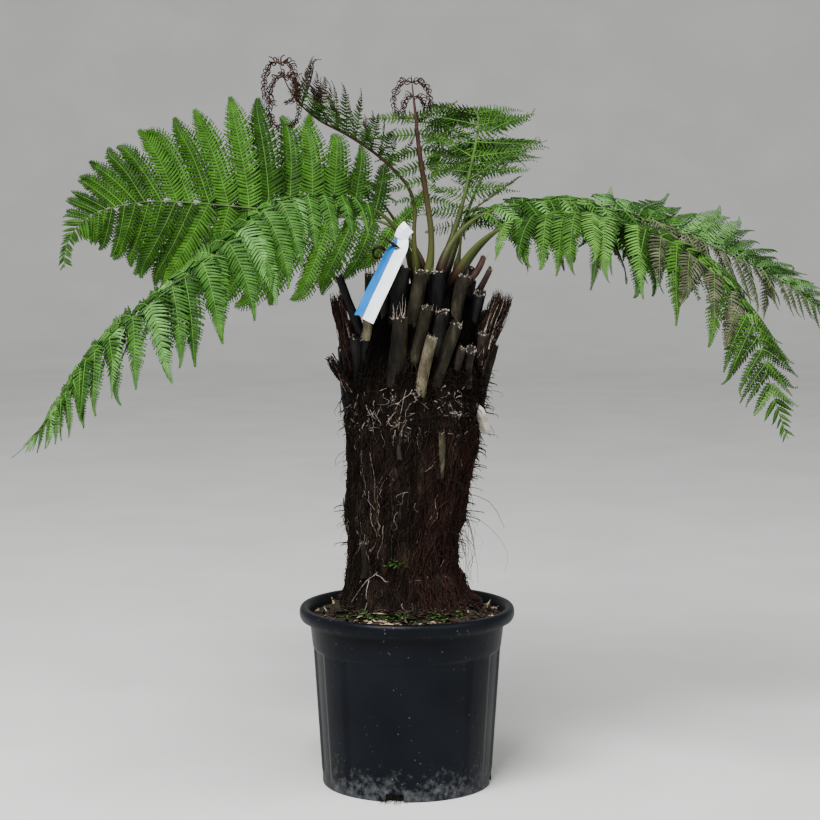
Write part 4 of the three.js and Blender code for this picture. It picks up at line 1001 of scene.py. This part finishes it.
def leaflets(frond, line, rng):
    """Each leaflet's middle line and its own directions, both hands of every pair."""
    even = leaflet_places(frond)
    unruly = frond.get("unruly", 5)
    made = []
    for hand in (-1, 1):
        lean_ends = frond.get("lean_plus", frond["lean"]) if hand > 0 else frond["lean"]
        folds = np.atleast_1d(frond.get("fold_plus", frond["fold"]) if hand > 0 else frond["fold"])
        droops = np.atleast_1d(frond.get("droop_plus", frond["droop"]) if hand > 0 else frond["droop"])
        places = np.clip(even + rng.normal(0, 0.0035, len(even)), 0, 0.995)
        length = np.maximum(frond.get("shortest", SHORTEST), frond["widest"] * blade_outline(frond, places))
        for u, reach in zip(places, length):
            place = on_rib(line, lerp(frond["blade"], 1, u))
            short = min(1, reach / FULL_BEND)
            lean = math.radians(lerp(*lean_ends, u) + rng.normal(0, unruly * short))
            fold = math.radians(station(folds, u) * short + rng.normal(0, unruly * short))
            start = (math.cos(lean) * place["along"] + hand * math.sin(lean) * math.cos(fold) * place["side"]
                     - math.sin(lean) * math.sin(fold) * place["face"])
            faded_hand, faded_from, faded_to, faded_share, shrunk = frond.get("faded", (0, 1, 1, 0, 1))
            faded = hand == faded_hand and faded_from < u < faded_to and rng.uniform() < faded_share
            size = reach * rng.uniform(0.93, 1.05) * (shrunk if faded else 1)
            s = (np.arange(LEAFLET_STEPS) + 0.5)[:, None] / LEAFLET_STEPS
            tip_turn = rng.normal(0, 0.75, 3) * np.clip((s - 0.78) / 0.22, 0, 1)
            wave = rng.normal(0, 0.05, 3) * np.sin(s * 5)
            arch = frond.get("arch", 0) * short * np.clip(1 - s / ARCH_REACH, 0, 1) * place["face"]
            going = unit(start + arch - [0, 0, station(droops, u) * short * rng.uniform(0.8, 1.25)] * s
                         + LEAFLET_SWEEP * s * place["along"] + tip_turn + wave)
            path = walked(place["at"], going * size / LEAFLET_STEPS)
            along = unit(np.gradient(path, axis=0))
            across = unit(np.cross(place["face"], along))
            through = np.cross(along, across)
            twist = station(np.atleast_1d(frond.get("twist", 0)), u)
            tilt = math.radians(twist + rng.normal(0, 1.4 * min(unruly, 10)))
            across, through = (across * math.cos(tilt) + through * math.sin(tilt),
                               through * math.cos(tilt) - across * math.sin(tilt))
            made.append(dict(path=path, along=along, across=across, through=through, length=size, u=u,
                             faded=faded))
    return made


def pinnule_pattern(lobes):
    """One pinnule of unit length and unit half width, with a light fold down its middle and toothed margins
    that
    roll down and take a painted shade: its points, its faces, and which faces are margin."""
    width = lambda x: (1 - 0.34 * x) * (1 - x ** 4) ** 0.8
    points = [(i / lobes, 0.0, 0.0) for i in range(lobes)] + [(1.0, 0.0, -0.1)]
    faces, margin = [], []
    for hand in (-1, 1):
        first = len(points)
        for i in range(lobes):
            notch, tooth = i / lobes, min((i + 0.8) / lobes, 0.96)
            points.append((notch if i else -0.02, hand * width(notch) * 0.46, -0.10))
            points.append((tooth, hand * width(min(tooth, 0.93)), -0.52))
        for i in range(lobes):
            near, out = first + 2 * i, first + 2 * i + 1
            ahead = near + 2 if i < lobes - 1 else lobes
            corners = [(i, near, ahead), (near, out, ahead)] + ([(i, ahead, i + 1)] if i < lobes - 1 else [])
            faces += [c[::hand] for c in corners]
            margin += [False, True] + [False] * (len(corners) - 2)
    return np.array(points), np.array(faces), np.array(margin)


PINNULES = [(0.012, pinnule_pattern(4)), (0.006, pinnule_pattern(3)), (0.0, pinnule_pattern(2))]
PINNULE_PITCH = 0.0058
FINEST_PITCH = 0.0019
PINNULE_FULL = 0.80
PINNULE_REACH = {"broad": [0.82, 0.96, 1.0, 1.0, 1.0, 0.98, 0.93, 0.82, 0.62, 0.34, 0.08],
                 "drawn": [0.84, 1.0, 1.0, 0.98, 0.93, 0.84, 0.70, 0.52, 0.32, 0.17, 0.08]}
SMALLEST_PINNULE = 0.0018
FULL_LEAFLET = 0.12
FADED_TONE = 3
DARK_TONE = 4
# The margins' tone is a painted shade: a dark green that stands in for the shadow between the pinnules.
MARGIN_SHADE_TONE = 5


def pinnules(leaflet, rng, tone, tip_tone=DARK_TONE, tips_from=2.0, reach_share=0.14, full=PINNULE_FULL,
             profile="drawn", crumple=0.16, shade=MARGIN_SHADE_TONE, step=PINNULE_PITCH):
    """All pinnules of one leaflet as points, faces and tones. The last ones may have a tone of their own; the
    margins take a painted shade.
    """
    grown = min(1, leaflet["length"] / FULL_LEAFLET)
    reach = reach_share * leaflet["length"] * lerp(0.85, 1, grown)
    places, sizes, pitches = [], [], []
    s = min(0.003 / leaflet["length"], 0.06)
    while s < 0.975:
        share = float(station(PINNULE_REACH[profile], s))
        pitch = max(FINEST_PITCH, step * lerp(0.45, 1, share) * lerp(0.6, 1, grown))
        places.append(s)
        sizes.append(max(SMALLEST_PINNULE, reach * share))
        pitches.append(pitch)
        s += pitch / leaflet["length"]
    places, sizes, pitches = np.array(places), np.array(sizes), np.array(pitches)
    steps = np.linspace(0, 1, len(leaflet["path"]))
    at = {key: follow(places, steps, leaflet[key]) for key in ("path", "along", "across", "through")}
    parts = []
    for hand in (-1, 1):
        upper = np.inf
        for least, (pattern, faces, margin) in PINNULES:
            keep = (sizes >= least) & (sizes < upper)
            upper = least
            count = int(keep.sum())
            if not count:
                continue
            along, across, through = (unit(at[key][keep]) for key in ("along", "across", "through"))
            angle = np.radians(lerp(76, 52, places[keep]) + rng.normal(0, 14 * crumple, count))[:, None]
            out = np.cos(angle) * along + np.sin(angle) * hand * across
            up = through + rng.normal(0, crumple, (count, 3))
            out = unit(out - 0.08 * through + rng.normal(0, 0.25 * crumple, (count, 3)))
            edge = unit(np.cross(up, out))
            up = np.cross(out, edge)[:, None]
            length = (sizes[keep] * rng.uniform(0.94, 1.05, count))[:, None, None]
            half = (full * pitches[keep])[:, None, None]
            x, y, z = (pattern[:, k][None, :, None] for k in range(3))
            points = (at["path"][keep][:, None] + x * length * out[:, None] + y * half * edge[:, None]
                      + (z * half - 0.14 * x ** 2 * length) * up + 0.16 * x ** 2 * length * along[:, None])
            made = faces[None] + (np.arange(count) * len(pattern))[:, None, None]
            dark = places[keep] + rng.normal(0, 0.06, count) > tips_from
            tones = np.repeat(np.where(dark, tip_tone, tone), len(faces))
            # Margin faces take the painted shade tone.
            tones = np.where(np.tile(margin, count) & (tones < tip_tone), shade, tones)
            parts.append((points.reshape(-1, 3), made.reshape(-1, 3), tones))
    return joined(parts)


SIMPLE_BELOW = 0.040
SIMPLE_OUTLINE = [0.5, 0.9, 1.0, 0.97, 0.88, 0.74, 0.54, 0.30, 0.02]
SIMPLE_HALF = 0.13
SIMPLE_FOLD = 0.35
SIMPLE_LANES = np.array([-1, -0.6, 0, 0.6, 1])


def simple_blade(leaflet, tone):
    """A short leaflet near a frond's end: one narrow folded blade with notched margins in a painted shade."""
    steps = 2 * (len(SIMPLE_OUTLINE) - 1)
    s = np.linspace(0, 1, steps + 1)
    from_steps = np.linspace(0, 1, len(leaflet["path"]))
    path, across, through = (follow(s, from_steps, leaflet[key])[:, None]
                             for key in ("path", "across", "through"))
    notches = np.where(np.arange(steps + 1) % 2, 1.0, 0.7)
    half = SIMPLE_HALF * leaflet["length"] * station(SIMPLE_OUTLINE, s) * notches
    out = (half[:, None] * SIMPLE_LANES)[:, :, None]
    points = path + out * across - SIMPLE_FOLD * np.abs(out) * through
    lane = np.tile(np.arange(4), steps)
    margin = np.tile((lane == 0) | (lane == 3), 2)
    return points.reshape(-1, 3), grid_faces(steps + 1, 5, closed=False), np.where(margin, MARGIN_SHADE_TONE, tone)


def midrib(leaflet, thick=0.0008):
    """A leaflet's own rib, which runs out past its last pinnules as a thread."""
    thin = np.linspace(1, 0.22, len(leaflet["path"]))[None] * min(thick, leaflet["length"] * 0.009)
    return tubes(leaflet["path"][None], thin, 4, caps=False)


# Each family's last tone is the painted shade of the margins.
LEAF_TONES = {
    "deep": [(0.0095, 0.034, 0.001), (0.015, 0.052, 0.002), (0.026, 0.082, 0.005), (0.003, 0.0125, 0.001)],
    "mid": [(0.011, 0.038, 0.002), (0.027, 0.080, 0.006), (0.062, 0.152, 0.024), (0.0036, 0.0140, 0.001)],
    "bright": [(0.012, 0.044, 0.003), (0.029, 0.086, 0.011), (0.072, 0.170, 0.042), (0.0046, 0.0175, 0.002)],
}
LEAF_VARIES = np.array([0.7, 1.0, 1.35])[:, None]
leaf_greens = {name: [finish(f"leaf_{name}_{k}", LEAF_VARIES * tone, 60, 0.45, bump=0.0002, bump_grain=900,
                             specular=0.07)
                      for k, tone in enumerate(tones)] for name, tones in LEAF_TONES.items()}
leaf_faded = finish("leaf_faded", [(0.030, 0.033, 0.017), (0.060, 0.061, 0.036), (0.105, 0.100, 0.066)],
                    60, 0.7, bump=0.0002, bump_grain=900, specular=0.1)
leaf_dark = finish("leaf_dark", [(0.008, 0.008, 0.005), (0.022, 0.020, 0.013)], 90, 0.6, specular=0.25)
rib_green = finish("rib_green", [(0.045, 0.115, 0.012), (0.085, 0.175, 0.028)], 60, 0.5, specular=0.2)
FADED_BROADER = 1.3
CROWN_HEART = (0.045, 0.0, 0.800)
STALK_FADE = 0.05


def stalk_finish(name, foot_tones, upper):
    """A rib's skin, which changes with its distance from the crown, from brown through olive to green."""
    material = finish(name, upper, 60, 0.45, bump=0.0005, bump_grain=300, specular=0.16)
    tree = material.node_tree
    colour = tree.nodes["Principled BSDF"].inputs["Base Color"]
    away = feed(tree, tree.nodes.new("ShaderNodeVectorMath"),
                {0: tree.nodes["Texture Coordinate"].outputs["Object"], 1: CROWN_HEART})
    away.operation = "DISTANCE"
    upper_from = foot_tones[-1][0]
    fade = node(tree, "MapRange", {"From Min": upper_from - STALK_FADE, "From Max": upper_from + STALK_FADE,
                                   "Value": away.outputs["Value"]})
    lower = ramp(tree, foot_tones, away.outputs["Value"])
    tree.links.new(laid_over(tree, fade.outputs["Result"], lower, colour.links[0].from_socket), colour)
    return material


rib_stalk = stalk_finish("rib_stalk", [(0.06, (0.014, 0.005, 0.004)), (0.078, (0.028, 0.016, 0.007)),
                                       (0.10, (0.034, 0.042, 0.008)), (0.22, (0.036, 0.054, 0.009))],
                         [(0.024, 0.050, 0.008), (0.052, 0.096, 0.018)])

for seed, (name, frond) in enumerate(FRONDS.items()):
    frond_draws = np.random.default_rng(100 + seed)
    line = rib_line(frond)
    blades, midribs = [], []
    for spray in leaflets(frond, line, frond_draws):
        tone = FADED_TONE if spray["faded"] else frond_draws.choice([0, 1, 2], p=[0.3, 0.4, 0.3])
        broad = FADED_BROADER if spray["faded"] else 1.0
        if spray["length"] < SIMPLE_BELOW:
            blades.append(simple_blade(spray, tone))
        else:
            blades.append(pinnules(spray, frond_draws, tone, DARK_TONE, frond.get("dark_tips", 2.0),
                                   frond.get("reach_share", 0.14) * broad, frond.get("full", PINNULE_FULL),
                                   frond.get("profile", "drawn"), frond.get("crumple", 0.16),
                                   step=frond.get("step", PINNULE_PITCH)))
        midribs.append((*midrib(spray), 1))
    greens = leaf_greens[frond["tones"]]
    # The last skin is the painted shade of the margins.
    leaf_skins = greens[:3] + [leaf_faded, leaf_dark, greens[3]]
    leaf_piece = new_piece(f"{name}_leaflets", joined(blades), leaf_skins, smooth=False)
    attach(leaf_piece, "root")
    ribs = joined([(*rib_mesh(frond, line), 0)] + midribs)
    rib_piece = new_piece(f"{name}_ribs", ribs, [rib_stalk, rib_green])
    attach(rib_piece, "root")
    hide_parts(f"{name}_inner", f"{name}_outer")


# The young fronds: upright, not yet opened out. Their lower leaflets are green with dark tips, and the
# last ones are still rolled over in brown curls, set with small hooked pinnules.
YOUNG_FRONDS = {
    "young_left_frond": dict(
        root=(0.015, -0.042, 0.866), length=0.440, pitch=[76, 97, 49, 35, 25, 53, 82],
        heading=[242, 199, 178, 186, 189, 180, 158], roll=[0, 0, 0, 0, 85], fold=-52, droop=0.1, blade=0.4,
        pairs=9, spacing=0.017, widest=0.095, base=0.8, narrowing=0.2, lean=(80, 64), foot=0.008, neck=0.0066,
        taper=1.6, curled=2, unruly=12, nodes=("young_left_frond_inner", "young_left_frond_outer")),
    "young_middle_frond": dict(
        root=(0.036, -0.052, 0.860), length=0.320, pitch=[100, 82, 80, 84, 68],
        heading=[174, 174, 164, 140, 97], roll=[95, 95, 105, 129, 172], fold=-8, droop=0.5, blade=0.36,
        pairs=7, spacing=0.026, widest=0.084, base=0.75, narrowing=0.2, lean=(92, 74), foot=0.011, neck=0.010,
        taper=2.4, curled=2, unruly=14, brown=(1.0, 0.90), inner_curl=0.5, nodes=("young_middle_frond",)),
    "young_right_frond": dict(
        root=(0.084, 0.022, 0.866), length=0.195, pitch=[78, 86, 37, 34, 32],
        heading=[15, 14, 14, 16, 19], roll=[0, 0, 0], fold=-30, droop=0, blade=0.55,
        pairs=5, spacing=0.010, widest=0.026, base=0.9, lean=(75, 60), foot=0.007, neck=0.005, curled=0,
        unruly=14, nodes=("young_right_frond",)),
}
CURL_TURN = [-35, 40, 75, 90, 120, 185]
CURL_LONGER = 1.5
CURL_STEPS = 40
CURL_THICK = (0.0011, 0.0006)
CURL_HOOK = 0.0165
CURL_HOOK_PITCH = 0.0037


def curled_leaflets(frond, line, rng):
    """Middle lines of the leaflets that are still rolled over, at the solids' own places."""
    pairs = frond["pairs"]
    made = []
    for k in range(pairs - frond["curled"], pairs):
        u = 1 - (1 - (k + 0.4) / pairs) ** 1.15
        place = on_rib(line, lerp(frond["blade"], 1, u))
        length = frond["widest"] * float(blade_outline(frond, u)) * CURL_LONGER
        length *= frond.get("inner_curl", 1) if k < pairs - 1 else 1
        for hand in (-1, 1):
            outward = unit(hand * place["side"] * [1, 1, 0])
            s = (np.arange(CURL_STEPS) + 0.5) / CURL_STEPS
            turn = np.radians(station(CURL_TURN, s) + 8 * np.sin(s * 21 + rng.uniform(0, 6)))[:, None]
            going = np.cos(turn) * outward - np.sin(turn) * np.array([0, 0, 1])
            made.append(walked(place["at"], going * length / CURL_STEPS))
    return made


def hooks(path, rng, reach, spacing):
    """Little rolled pinnules along a curled leaflet: short tapering hooks that stand off both sides."""
    along = unit(np.gradient(path, axis=0))
    total = np.linalg.norm(np.diff(path, axis=0), axis=1).sum()
    count = max(4, int(2 * total / spacing))
    s = np.clip((np.arange(count) + rng.uniform(0, 1, count)) / count, 0, 0.99)
    steps = np.linspace(0, 1, len(path))
    going = unit(follow(s, steps, along))
    flat = unit(np.cross(going, [0, 1, 0]) + rng.normal(0, 0.4, (count, 3)))
    out = flat * np.where(np.arange(count) % 2, 1, -1)[:, None]
    size = reach * rng.uniform(0.45, 1.15, count) * (1 - 0.35 * s)
    t = np.linspace(0, 1, 9)[None, :, None]
    turn = np.where(t < 0.4, 0.5, 0.5 + (t - 0.4) * rng.uniform(2, 6, (count, 1, 1)))
    step = (np.cos(turn) * out[:, None] + np.sin(turn) * going[:, None]) / 8 * size[:, None, None]
    paths = follow(s, steps, path)[:, None] + np.cumsum(step, axis=1) - step[:, :1]
    return tubes(paths, (0.0004 + size * 0.060)[:, None] * (1 - 0.4 * t[:, :, 0]), 3)


young_green = finish("young_green", [(0.006, 0.020, 0.002), (0.014, 0.046, 0.004), (0.034, 0.082, 0.009)],
                     50, 0.5, specular=0.07)
young_tip = finish("young_tip", [(0.006, 0.004, 0.003), (0.022, 0.013, 0.009)], 120, 0.7, specular=0.06)
curl_brown = finish("curl_brown", [(0.006, 0.003, 0.0024), (0.016, 0.0075, 0.0058), (0.042, 0.020, 0.015)],
                    140, 0.85, specular=0.06)
young_stalk = stalk_finish("young_stalk", [(0.06, (0.020, 0.010, 0.006)), (0.085, (0.036, 0.044, 0.008)),
                                           (0.16, (0.030, 0.030, 0.007)), (0.22, (0.022, 0.0085, 0.004))],
                           [(0.013, 0.0045, 0.0024), (0.032, 0.012, 0.006)])
YOUNG_SKINS = [young_green, young_tip, curl_brown, young_stalk]
OPEN_TONE, TIP_TONE, CURL_TONE, STALK_TONE = range(4)

for seed, (name, frond) in enumerate(YOUNG_FRONDS.items()):
    young_draws = np.random.default_rng(300 + seed)
    line = rib_line(frond)
    parts = [(*rib_mesh(frond, line), STALK_TONE)]
    opened_to = 1.0
    if frond["curled"]:
        opened_to = 1 - (frond["curled"] + 0.2) / frond["pairs"]
        for path in curled_leaflets(frond, line, young_draws):
            parts.append((*tubes(path[None], np.linspace(*CURL_THICK, len(path))[None], 5), CURL_TONE))
            parts.append((*hooks(path, young_draws, CURL_HOOK, CURL_HOOK_PITCH), CURL_TONE))
    for spray in leaflets(frond, line, young_draws):
        if spray["u"] < opened_to:
            tips_from = lerp(*frond.get("brown", (0.75, 0.15)), spray["u"])
            parts.append(pinnules(spray, young_draws, OPEN_TONE, TIP_TONE, tips_from, 0.16, 0.5, crumple=0.3,
                                  shade=OPEN_TONE, step=0.0066))
            parts.append((*midrib(spray), STALK_TONE))
    young_piece = new_piece(f"{name}_blades", joined(parts), YOUNG_SKINS)
    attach(young_piece, "root")
    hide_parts(*frond["nodes"])


# The crozier: a frond tip still rolled up, dark and hairy, on a bare pinkish stalk. It grows out of the
# crown among the stubs.
CROZIER_ROOT = (-0.019, -0.047, 0.788)
CROZIER_HEIGHT = 0.096
CROZIER_LEAN = 0.15
CROZIER_COIL = 0.013
CROZIER_SHRINK = 0.55
CROZIER_TURNS = 0.9
CROZIER_STEPS = 70
CROZIER_BARE = 38


def crozier_line():
    t = np.linspace(0, 1, CROZIER_STEPS)
    turn = np.clip((t - 0.5) / 0.5, 0, 1)
    rise = np.minimum(1, t / 0.5) * CROZIER_HEIGHT
    coil = CROZIER_COIL * (1 - CROZIER_SHRINK * turn)
    angle = turn * CROZIER_TURNS * 2 * math.pi
    x = CROZIER_ROOT[0] - rise * CROZIER_LEAN + np.where(turn > 0, coil * np.cos(angle) - CROZIER_COIL, 0)
    z = CROZIER_ROOT[2] + rise + np.where(turn > 0, coil * np.sin(angle), 0)
    return np.stack([x, np.full(len(t), CROZIER_ROOT[1]), z], -1)


crozier_path = crozier_line()
stalk_path, coil_path = crozier_path[:CROZIER_BARE], crozier_path[CROZIER_BARE - 1:]
crozier_parts = joined([
    (*tubes(stalk_path[None], np.linspace(0.0036, 0.0028, len(stalk_path))[None], 10), 0),
    (*tubes(coil_path[None], np.linspace(0.0026, 0.0012, len(coil_path))[None], 8), 1),
    (*hooks(crozier_path[CROZIER_BARE - 2:], np.random.default_rng(41), 0.0075, 0.0022), 1)])
young_pink = finish("young_pink", [(0.110, 0.045, 0.030), (0.220, 0.110, 0.075)], 120, 0.5, specular=0.35)
crozier_piece = new_piece("crozier_coil", crozier_parts, [young_pink, curl_brown])
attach(crozier_piece, "root")
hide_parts("crozier")


# The label: a bare band of thin plastic, half of it white and half blue, looped round one stalk. It hangs
# down over the stubs, folded lengthwise, and its white end stands up beside the stalk.
LABEL_ALONG = 0.048
LABEL_START = (-0.003, -0.006, -0.001)
LABEL_ROUTE = [(-0.016, -0.062, 0.892), (-0.042, -0.114, 0.840), (-0.068, -0.142, 0.786)]
LABEL_HEAD = np.array([(0.001, -0.007, -0.002), (0.006, -0.010, 0.012), (0.014, -0.010, 0.020)])
LABEL_BARK = np.array([(-0.021, -0.066, 0.900), (-0.018, -0.066, 0.893)])
LABEL_OUTWARD = (-0.35, -1, 0)
LABEL_WIDTH = 0.036
LABEL_FOLD = 0.008
LABEL_THICKNESS = 0.0011
LABEL_STEPS = 40
LABEL_LANES = 7
LABEL_COLLAR_HALF = 0.006
LABEL_COLLAR_RADIUS = 0.0088


def label_lane(path, first, last, steps, crease):
    """One lane of the band, between two places across its width, as a closed thin sheet."""
    path = np.asarray(path)
    going = unit(np.gradient(path, axis=0))
    across = unit(np.cross(going, unit(np.array(LABEL_OUTWARD))))
    face = np.cross(across, going)
    share = np.clip(0.55 + np.arange(len(path)) / steps * 4, 0, 1)[:, None]
    w = np.linspace(first, last, LABEL_LANES)
    deep = LABEL_FOLD * (1 - np.abs(w) * 2) + crease * np.sin(w * 9)
    wave = 0.0006 * np.sin(np.arange(len(path)) * 0.45)[:, None]
    top = (path[:, None] + (share * w * LABEL_WIDTH)[:, :, None] * across[:, None]
           + (share * deep + wave)[:, :, None] * face[:, None])
    low = top - LABEL_THICKNESS * face[:, None]
    points = np.concatenate([top.reshape(-1, 3), low.reshape(-1, 3)])
    rows, lanes = len(path), LABEL_LANES
    count = rows * lanes
    skin = grid_faces(rows, lanes, closed=False)
    rim = np.concatenate([np.arange(lanes), np.arange(1, rows) * lanes + lanes - 1,
                          count - 2 - np.arange(lanes - 1), np.arange(rows - 2, 0, -1) * lanes])
    after = np.roll(rim, -1)
    edge = np.concatenate([np.stack([rim, rim + count, after + count], 1),
                           np.stack([rim, after + count, after], 1)])
    return points, np.concatenate([skin[:, ::-1], skin + count, edge])


def smooth_route(points, steps):
    """A smooth line through a few points."""
    points = np.asarray(points)
    t = np.linspace(0, len(points) - 1, steps)
    k = np.clip(t.astype(int), 0, len(points) - 2)
    f = (t - k)[:, None]
    before, after = points[np.maximum(k - 1, 0)], points[np.minimum(k + 2, len(points) - 1)]
    a, b = points[k], points[k + 1]
    return 0.5 * (2 * a + (b - before) * f + (2 * before - 5 * a + 4 * b - after) * f ** 2
                  + (3 * a - before - 3 * b + after) * f ** 3)


label_rib = rib_line(FRONDS["left_front_frond"])
label_start = on_rib(label_rib, LABEL_ALONG)["at"] + LABEL_START
label_path = smooth_route([label_start, *LABEL_ROUTE], LABEL_STEPS)
head_path = smooth_route(label_start + LABEL_HEAD, 8)
collar_f = LABEL_ALONG + np.linspace(-LABEL_COLLAR_HALF, LABEL_COLLAR_HALF, 8)
collar_skin = tubes(on_rib(label_rib, collar_f)["at"][None], np.full((1, 8), LABEL_COLLAR_RADIUS), 20)
label_parts = joined([
    (*label_lane(label_path, 0.02, 0.5, LABEL_STEPS, 0.0006), 0),
    (*label_lane(label_path - [0.002, 0.002, 0.004], -0.5, 0.0, LABEL_STEPS, 0.0004), 1),
    (*label_lane(head_path, -0.33, 0.33, 2, 0.0002), 1),
    (*collar_skin, 1),
    (*chips(LABEL_BARK, np.random.default_rng(3), 3.0, 1.2), 2)])
label_white = finish("label_white", [(0.60, 0.63, 0.67), (0.74, 0.77, 0.80)], 30, 0.35, bump=0.0006,
                     bump_grain=90)
label_blue = finish("label_blue", [(0.0002, 0.090, 0.300), (0.0006, 0.125, 0.380)], 30, 0.3, bump=0.0006,
                    bump_grain=90)
label_piece = new_piece("label_strips", label_parts, [label_blue, label_white, bark_red], smooth=False)
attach(label_piece, "root")
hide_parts("label_band")


# The tag: a small bare slip of pale plastic that hangs curled from a wire pin in the trunk's right side,
# with a torn white corner above it.
TAG_ROUTE = [(0.1150, -0.033, 0.629), (0.1215, -0.041, 0.623), (0.1270, -0.035, 0.606),
             (0.1330, -0.030, 0.590)]
TAG_CORNER = [(0.1120, -0.036, 0.640), (0.1165, -0.038, 0.628)]
TAG_PIN = [(0.0980, -0.026, 0.624), (0.1160, -0.033, 0.632), (0.1200, -0.042, 0.6215)]
TAG_PIN_RADIUS = 0.0007

tag_parts = joined([
    (*label_lane(smooth_route(TAG_ROUTE, 18), -0.24, 0.24, 6, 0.0002), 0),
    (*label_lane(smooth_route(TAG_CORNER, 5), -0.12, 0.14, 3, 0.0002), 1),
    (*tubes(smooth_route(TAG_PIN, 12)[None], np.full((1, 12), TAG_PIN_RADIUS), 6), 2)])
tag_pale = finish("tag_pale", [(0.190, 0.172, 0.135), (0.360, 0.335, 0.280)], 60, 0.5, bump=0.0006,
                  bump_grain=120)
pin_dark = finish("pin_dark", [(0.010, 0.010, 0.010), (0.030, 0.028, 0.026)], 300, 0.5, bump=0.0002,
                  bump_grain=900)
tag_piece = new_piece("tag_slip", tag_parts, [tag_pale, label_white, pin_dark], smooth=False)
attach(tag_piece, "root")
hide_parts("trunk_tag")


# The studio: a pale floor that sweeps up into a backdrop far behind the plant, a wide soft light from the
# front and above, and even light all round.
CAMERA_PLACE = (0.005, -3.79, 1.04)
CAMERA_PITCH = 3.2
CAMERA_LENS = 100.56
CAMERA_SENSOR = 36
CAMERA_SHIFT = -0.1506
SWEEP_FROM = 7.0
SWEEP_RADIUS = 4.0
SWEEP_HEIGHT = 14.0
STUDIO_HALF = 20.0

sweep_turn = np.radians(np.linspace(0, 90, 40))
bend = SWEEP_RADIUS * np.stack([np.sin(sweep_turn), 1 - np.cos(sweep_turn)], 1) + [SWEEP_FROM, 0]
sweep = [(-STUDIO_HALF, 0.0), *bend, (SWEEP_FROM + SWEEP_RADIUS, SWEEP_HEIGHT)]
sweep_points = np.array([(x, y, z) for x in (-STUDIO_HALF, STUDIO_HALF) for y, z in sweep])
floor_pale = finish("floor_pale", [(0.50, 0.50, 0.49), (0.54, 0.54, 0.53)], 3, 0.9, specular=0.2)
floor = new_piece("floor", (sweep_points, grid_faces(2, len(sweep), closed=False)), [floor_pale])

world = bpy.data.worlds.new("studio")
bpy.context.scene.world = world
world.use_nodes = True
world.node_tree.nodes["Background"].inputs["Color"].default_value = (0.93, 0.95, 0.94, 1)
world.node_tree.nodes["Background"].inputs["Strength"].default_value = 0.78

for light_name, place, aim, size, power in (("key", (-1.2, -2.6, 4.0), (0, 0, 0.6), 2.6, 600),
                                            ("fill", (2.6, -2.2, 2.6), (0, 0, 0.6), 2.6, 70)):
    lamp = bpy.data.lights.new(light_name, "AREA")
    lamp.size = size
    lamp.energy = power
    light = bpy.data.objects.new(light_name, lamp)
    light.location = place
    direction = np.array(aim) - np.array(place)
    light.rotation_euler = (math.acos(-direction[2] / np.linalg.norm(direction)), 0,
                            math.atan2(direction[1], direction[0]) - math.pi / 2)
    bpy.context.scene.collection.objects.link(light)

camera_data = bpy.data.cameras.new("camera")
camera_data.lens = CAMERA_LENS
camera_data.sensor_width = CAMERA_SENSOR
camera_data.shift_y = CAMERA_SHIFT
camera = bpy.data.objects.new("camera", camera_data)
camera.location = CAMERA_PLACE
camera.rotation_euler = (math.radians(90 - CAMERA_PITCH), 0, 0)
bpy.context.scene.collection.objects.link(camera)
bpy.context.scene.camera = camera
